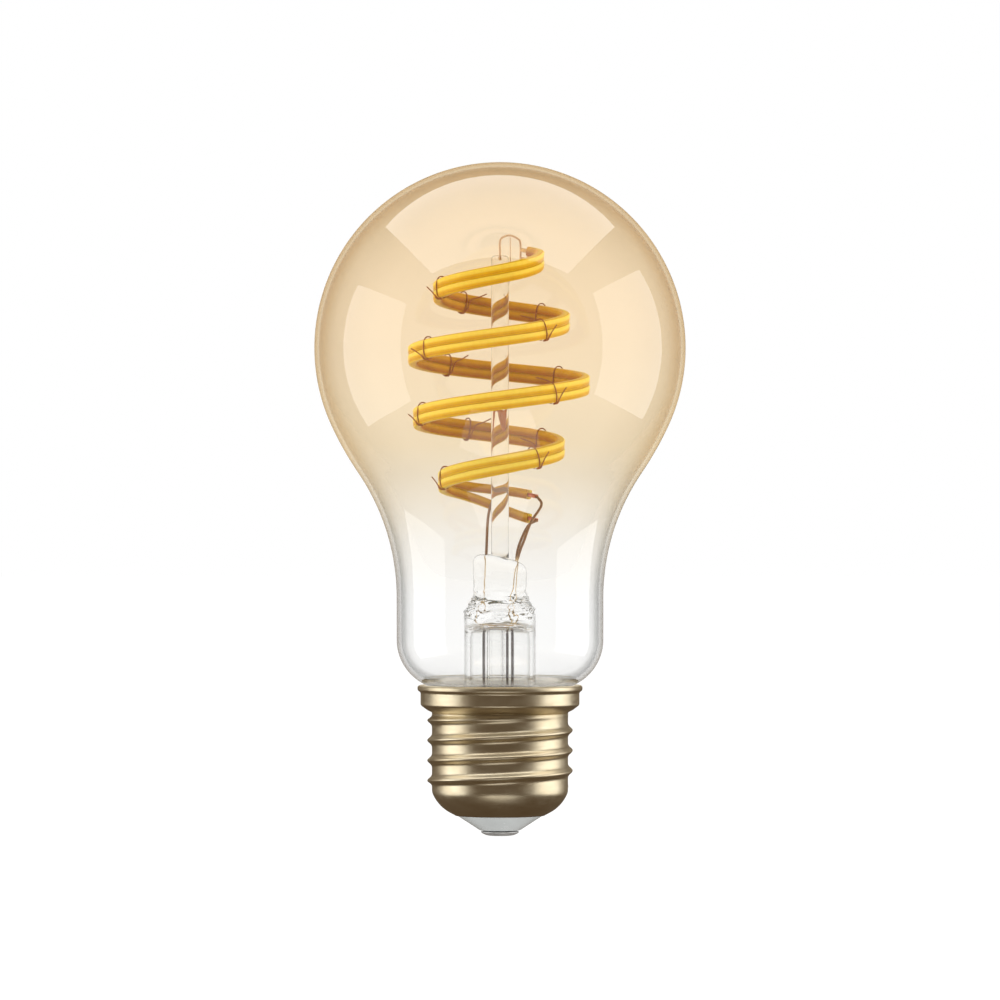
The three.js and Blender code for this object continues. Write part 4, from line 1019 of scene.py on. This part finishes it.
def tie_paths(angle, number):
    """One tie as three paths: the loop, its long end and the short end that turns round it."""
    centre = coil_point(angle)
    along = (coil_point(angle + 1) - coil_point(angle - 1)).normalized()
    up = (Vector((0, 0, 1)) - along * along.z).normalized()
    out = along.cross(up)
    front = math.sin(math.radians(angle)) < 0
    side = 1 if front else -1
    wide = STRAND_HALF_WIDTH + 0.06 + TIE_RADIUS
    tall = STRAND_SPACING / 2 + STRAND_HALF_HEIGHT + 0.02 + TIE_RADIUS

    def place(outwards, upwards, forwards):
        return centre + out * outwards + up * upwards + along * forwards

    # The loop leans along the strands, so that it shows as an open oval and not as a straight line.
    lean = 1 if math.cos(math.radians(angle)) > 0 else -1
    wander = [noise.noise(Vector((number * 1.7, 0.3 + k, 0.1))) for k in range(3)]
    slant = 0.35 + 0.2 * wander[0]
    loop = []
    for i in range(LOOP_STEPS + 1):
        turn = -math.pi / 2 - side * (0.1 + (math.tau - 0.2) * i / LOOP_STEPS)
        c, s = math.cos(turn), math.sin(turn)
        x = wide * math.copysign(abs(c) ** 0.7, c)
        z = tall * math.copysign(abs(s) ** 0.85, s) + (0.22 if s > 0.3 else 0) * (s - 0.3) / 0.7
        forwards = lean * (0.45 * c * side - slant * (s + 1) * (0.5 if front else -0.3))
        loop.append(place(x, z, forwards + 0.2 * (i / LOOP_STEPS - 0.5)))
    # The loop's two ends meet under the strands, turn round each other and run on as a tail.
    low = -tall
    if front:
        reach = (1.7 if lean > 0 else 2.6) + 0.6 * wander[1]
        rise = 2.1 + 0.5 * wander[2]
        run = [place(0.0, low - 0.1, 0), place(0.45, low - 0.1, 0.25 * lean),
               place(wide + 0.12, low + 0.45, 0.6 * lean),
               place(wide + 0.3, low + 0.45 + rise * 0.45, (0.6 + 0.4 * reach) * lean),
               place(wide + 0.55, low + 0.4 + rise, (0.6 + reach) * lean)]
    else:
        reach = (4.3 if lean < 0 else 4.6) + 0.8 * wander[1]
        rise = (3.8 if lean < 0 else 1.1) + 0.4 * wander[2]
        run = [place(0.0, low - 0.1, 0), place(-0.45, low - 0.05, 0.3 * lean),
               place(-wide - 0.15, low + 0.7, 0.7 * lean),
               place(-wide - 0.3, low + 0.5 + 0.55 * rise, 1.3 * lean),
               place(-wide - 0.4, low + 0.5 + 0.75 * rise, (1.3 + 0.5 * (reach - 1.3)) * lean),
               place(-wide - 0.5, low + 0.4 + rise, reach * lean)]
    tail = spline_through(run, 0.15)
    twist = []
    for i, point in enumerate(tail[:TWIST_STEPS]):
        phase = i * 0.8
        twist.append(point + out * TWIST_RADIUS * math.cos(phase) + up * TWIST_RADIUS * math.sin(phase))
    return [loop, tail, twist]


for number, angle in enumerate(TIE_ANGLES, 1):
    tie = swept(f"tie_{number:02d}", tie_paths(angle, number), TIE_RADIUS, TIE_RADIUS, 8, tie_finish)
    keep(tie, "tie_wire", f"filament_tie_{number:02d}")

# %% [markdown]
# ## Finishes for the pieces inside the cap
# The driver hides in the cap, and its CAD solids have the right shape. Each one keeps its mesh and gets the
# finish of its real material.

# %% Driver finishes
# Each finish: its two tones, the size of its pattern in mm, its gloss, what else it has and its pieces.
driver_finishes = {
    "sleeve_plastic": ((0.74, 0.73, 0.70), (0.82, 0.81, 0.78), 3, (0.4, 0.55), {}, ["insulating_sleeve"]),
    "board_laminate": ((0.01, 0.08, 0.035), (0.02, 0.13, 0.06), 0.5, (0.3, 0.45),
                       {"kind": "voronoi", "coat": 0.4}, ["driver_board", "radio_board"]),
    "capacitor_sleeve": ((0.010, 0.016, 0.025), (0.02, 0.035, 0.05), 2, (0.25, 0.4), {"coat": 0.3},
                         ["electrolytic_capacitor"]),
    "ferrite": ((0.025, 0.025, 0.028), (0.06, 0.06, 0.065), 0.4, (0.6, 0.8), {"bump_mm": 0.06},
                ["inductor_core"]),
    "winding_copper": ((0.35, 0.10, 0.03), (0.65, 0.25, 0.10), 0.3, (0.25, 0.4),
                       {"metallic": 1, "stretch": (20, 20, 1), "bump_mm": 0.08, "coat": 0.5},
                       ["inductor_winding"]),
    "shield_can": ((0.48, 0.49, 0.50), (0.62, 0.63, 0.64), 1.5, (0.25, 0.4), {"metallic": 1},
                   ["radio_shield"]),
    "chip_plastic": ((0.012, 0.012, 0.013), (0.03, 0.03, 0.032), 0.3, (0.5, 0.65), {"bump_mm": 0.03},
                     ["led_controller", "warm_switch", "cool_switch", "bridge_rectifier"]),
    "film_capacitor_case": ((0.50, 0.30, 0.02), (0.62, 0.40, 0.05), 1.5, (0.3, 0.45), {"coat": 0.3},
                            ["film_capacitor"]),
    "resistor_coating": ((0.18, 0.30, 0.22), (0.30, 0.44, 0.34), 1, (0.4, 0.55), {}, ["fusible_resistor"]),
    "tinned_wire": ((0.45, 0.45, 0.44), (0.62, 0.62, 0.60), 1, (0.25, 0.4), {"metallic": 1},
                    ["contact_lead", "resistor_lead", "shell_lead"]),
}
for name, (dark, light, scale_mm, rough, extra, pieces) in driver_finishes.items():
    material = finish(name, dark, light, scale_mm, rough, **extra)
    for piece in pieces:
        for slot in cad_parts[piece].material_slots:
            slot.material = material
print(sum(len(row[-1]) for row in driver_finishes.values()), "CAD pieces have a finish of their own")

# %% [markdown]
# ## Studio
# The bulb stands on a white sweep between large soft lights: one overhead, one at each side and one low in
# front. The glass mirrors them as pale panels, so their places decide how round it looks. The surroundings
# are white where they are seen directly or through the glass and dimmer in mirror images, as in a studio
# whose walls beyond the lights are dark.

# %% Soft lights
def soft_light(name, corners, strength):
    """A glowing panel with the given corners in mm. It lights the bulb and its mirror image shows."""
    mesh = new_mesh(name, corners, [(0, 1, 2, 3)])
    material, tree, shader, output = new_material(name)
    tree.nodes.remove(shader)
    glow = add_node(tree, "ShaderNodeEmission", {"Strength": strength})
    feed(tree, output, {"Surface": glow.outputs["Emission"]})
    mesh.materials.append(material)
    panel = add_object(name, mesh)
    panel.visible_camera = False
    panel.visible_transmission = False
    panel.visible_shadow = False


SIDE = 600
TOP = 600
SIDE_STRENGTH, TOP_STRENGTH, CARD_STRENGTH = 1.9, 2.4, 1.4
CARD_HEIGHT = -260
left = ((-0.52, 0.46), (0.39, 0.455), (0.39, -0.58), (-0.52, -0.61))
right = ((-0.475, 0.58), (0.52, 0.575), (0.52, -0.49), (-0.475, -0.5))
above = ((-0.93, -0.7), (0.93, -0.7), (0.93, 0.9), (-0.93, 0.9))
in_front = ((-160, -420), (160, -420), (160, -200), (-160, -200))
soft_light("left_softbox", [(-SIDE, y * SIDE, HEAD_CENTRE + z * SIDE) for y, z in left], SIDE_STRENGTH)
soft_light("right_softbox", [(SIDE, y * SIDE, HEAD_CENTRE + z * SIDE) for y, z in right], SIDE_STRENGTH)
soft_light("top_softbox", [(x * TOP, y * TOP, HEAD_CENTRE + TOP) for x, y in above], TOP_STRENGTH)
soft_light("front_card", [(x, y, CARD_HEIGHT) for x, y in in_front], CARD_STRENGTH)

# %% Surroundings and floor
world = bpy.data.worlds.new("studio")
scene.world = world
world.use_nodes = True
tree = world.node_tree
ray = add_node(tree, "ShaderNodeLightPath").outputs
where = add_node(tree, "ShaderNodeTexCoord").outputs["Generated"]
direction = add_node(tree, "ShaderNodeSeparateXYZ", {"Vector": where}).outputs


def blended(factor, start, end):
    return add_node(tree, "ShaderNodeMix", {"Factor": factor, "A": start, "B": end}).outputs["Result"]


# Through the glass the studio is white up to a steep angle, above which the dark ceiling begins. Mirrored in
# glass, only the white backdrop straight behind the bulb shows; satin metal sees a dim, warm room.
ceiling = value_range(tree, direction["Z"], 1.0, 0.15, 0.45, 0.8)
backdrop = value_range(tree, direction["Y"], 0.02, 0.4, 0.78, 0.93)
satin_mirror = calculated(tree, "MULTIPLY", ray["Is Glossy Ray"], ray["Is Reflection Ray"])
sharp_mirror = calculated(tree, "MULTIPLY", ray["Is Singular Ray"], ray["Is Reflection Ray"])
level = blended(ray["Is Transmission Ray"], 1.0, ceiling)
level = blended(ray["Is Diffuse Ray"], level, 0.85)
level = blended(satin_mirror, level, 0.11)
level = blended(sharp_mirror, level, backdrop)
feed(tree, tree.nodes["Background"], {
    "Strength": level,
    "Color": mixed(tree, satin_mirror, (1, 1, 1, 1), (1.0, 0.72, 0.48, 1)),
})

FLOOR_SIZE = 4000
FLOOR_DROP = 0.5
corners = [(x * FLOOR_SIZE, y * FLOOR_SIZE, -FLOOR_DROP) for x, y in ((-1, -1), (1, -1), (1, 1), (-1, 1))]
floor = add_object("floor", new_mesh("floor", corners, [(0, 1, 2, 3)]))
sweep_finish, tree, shader, _ = new_material("white_sweep")
feed(tree, shader, {
    "Base Color": two_tone(tree, pattern(tree, 40), (0.05, 0.05, 0.05), (0.07, 0.07, 0.07)),
    "Roughness": 0.9,
    "Emission Color": (1, 1, 1, 1),
    "Emission Strength": 0.97,
})
floor.data.materials.append(sweep_finish)
floor.visible_glossy = False

scene.view_settings.view_transform = "Standard"
scene.cycles.use_denoising = True
scene.cycles.max_bounces = 64
scene.cycles.transmission_bounces = 64
scene.cycles.transparent_max_bounces = 24
scene.cycles.glossy_bounces = 32
scene.cycles.caustics_reflective = False
scene.cycles.caustics_refractive = True
scene.cycles.sample_clamp_indirect = 6

# %% Sizes
print(len(FINISHED), "pieces made,", sum(len(p.data.polygons) for p in FINISHED), "faces")
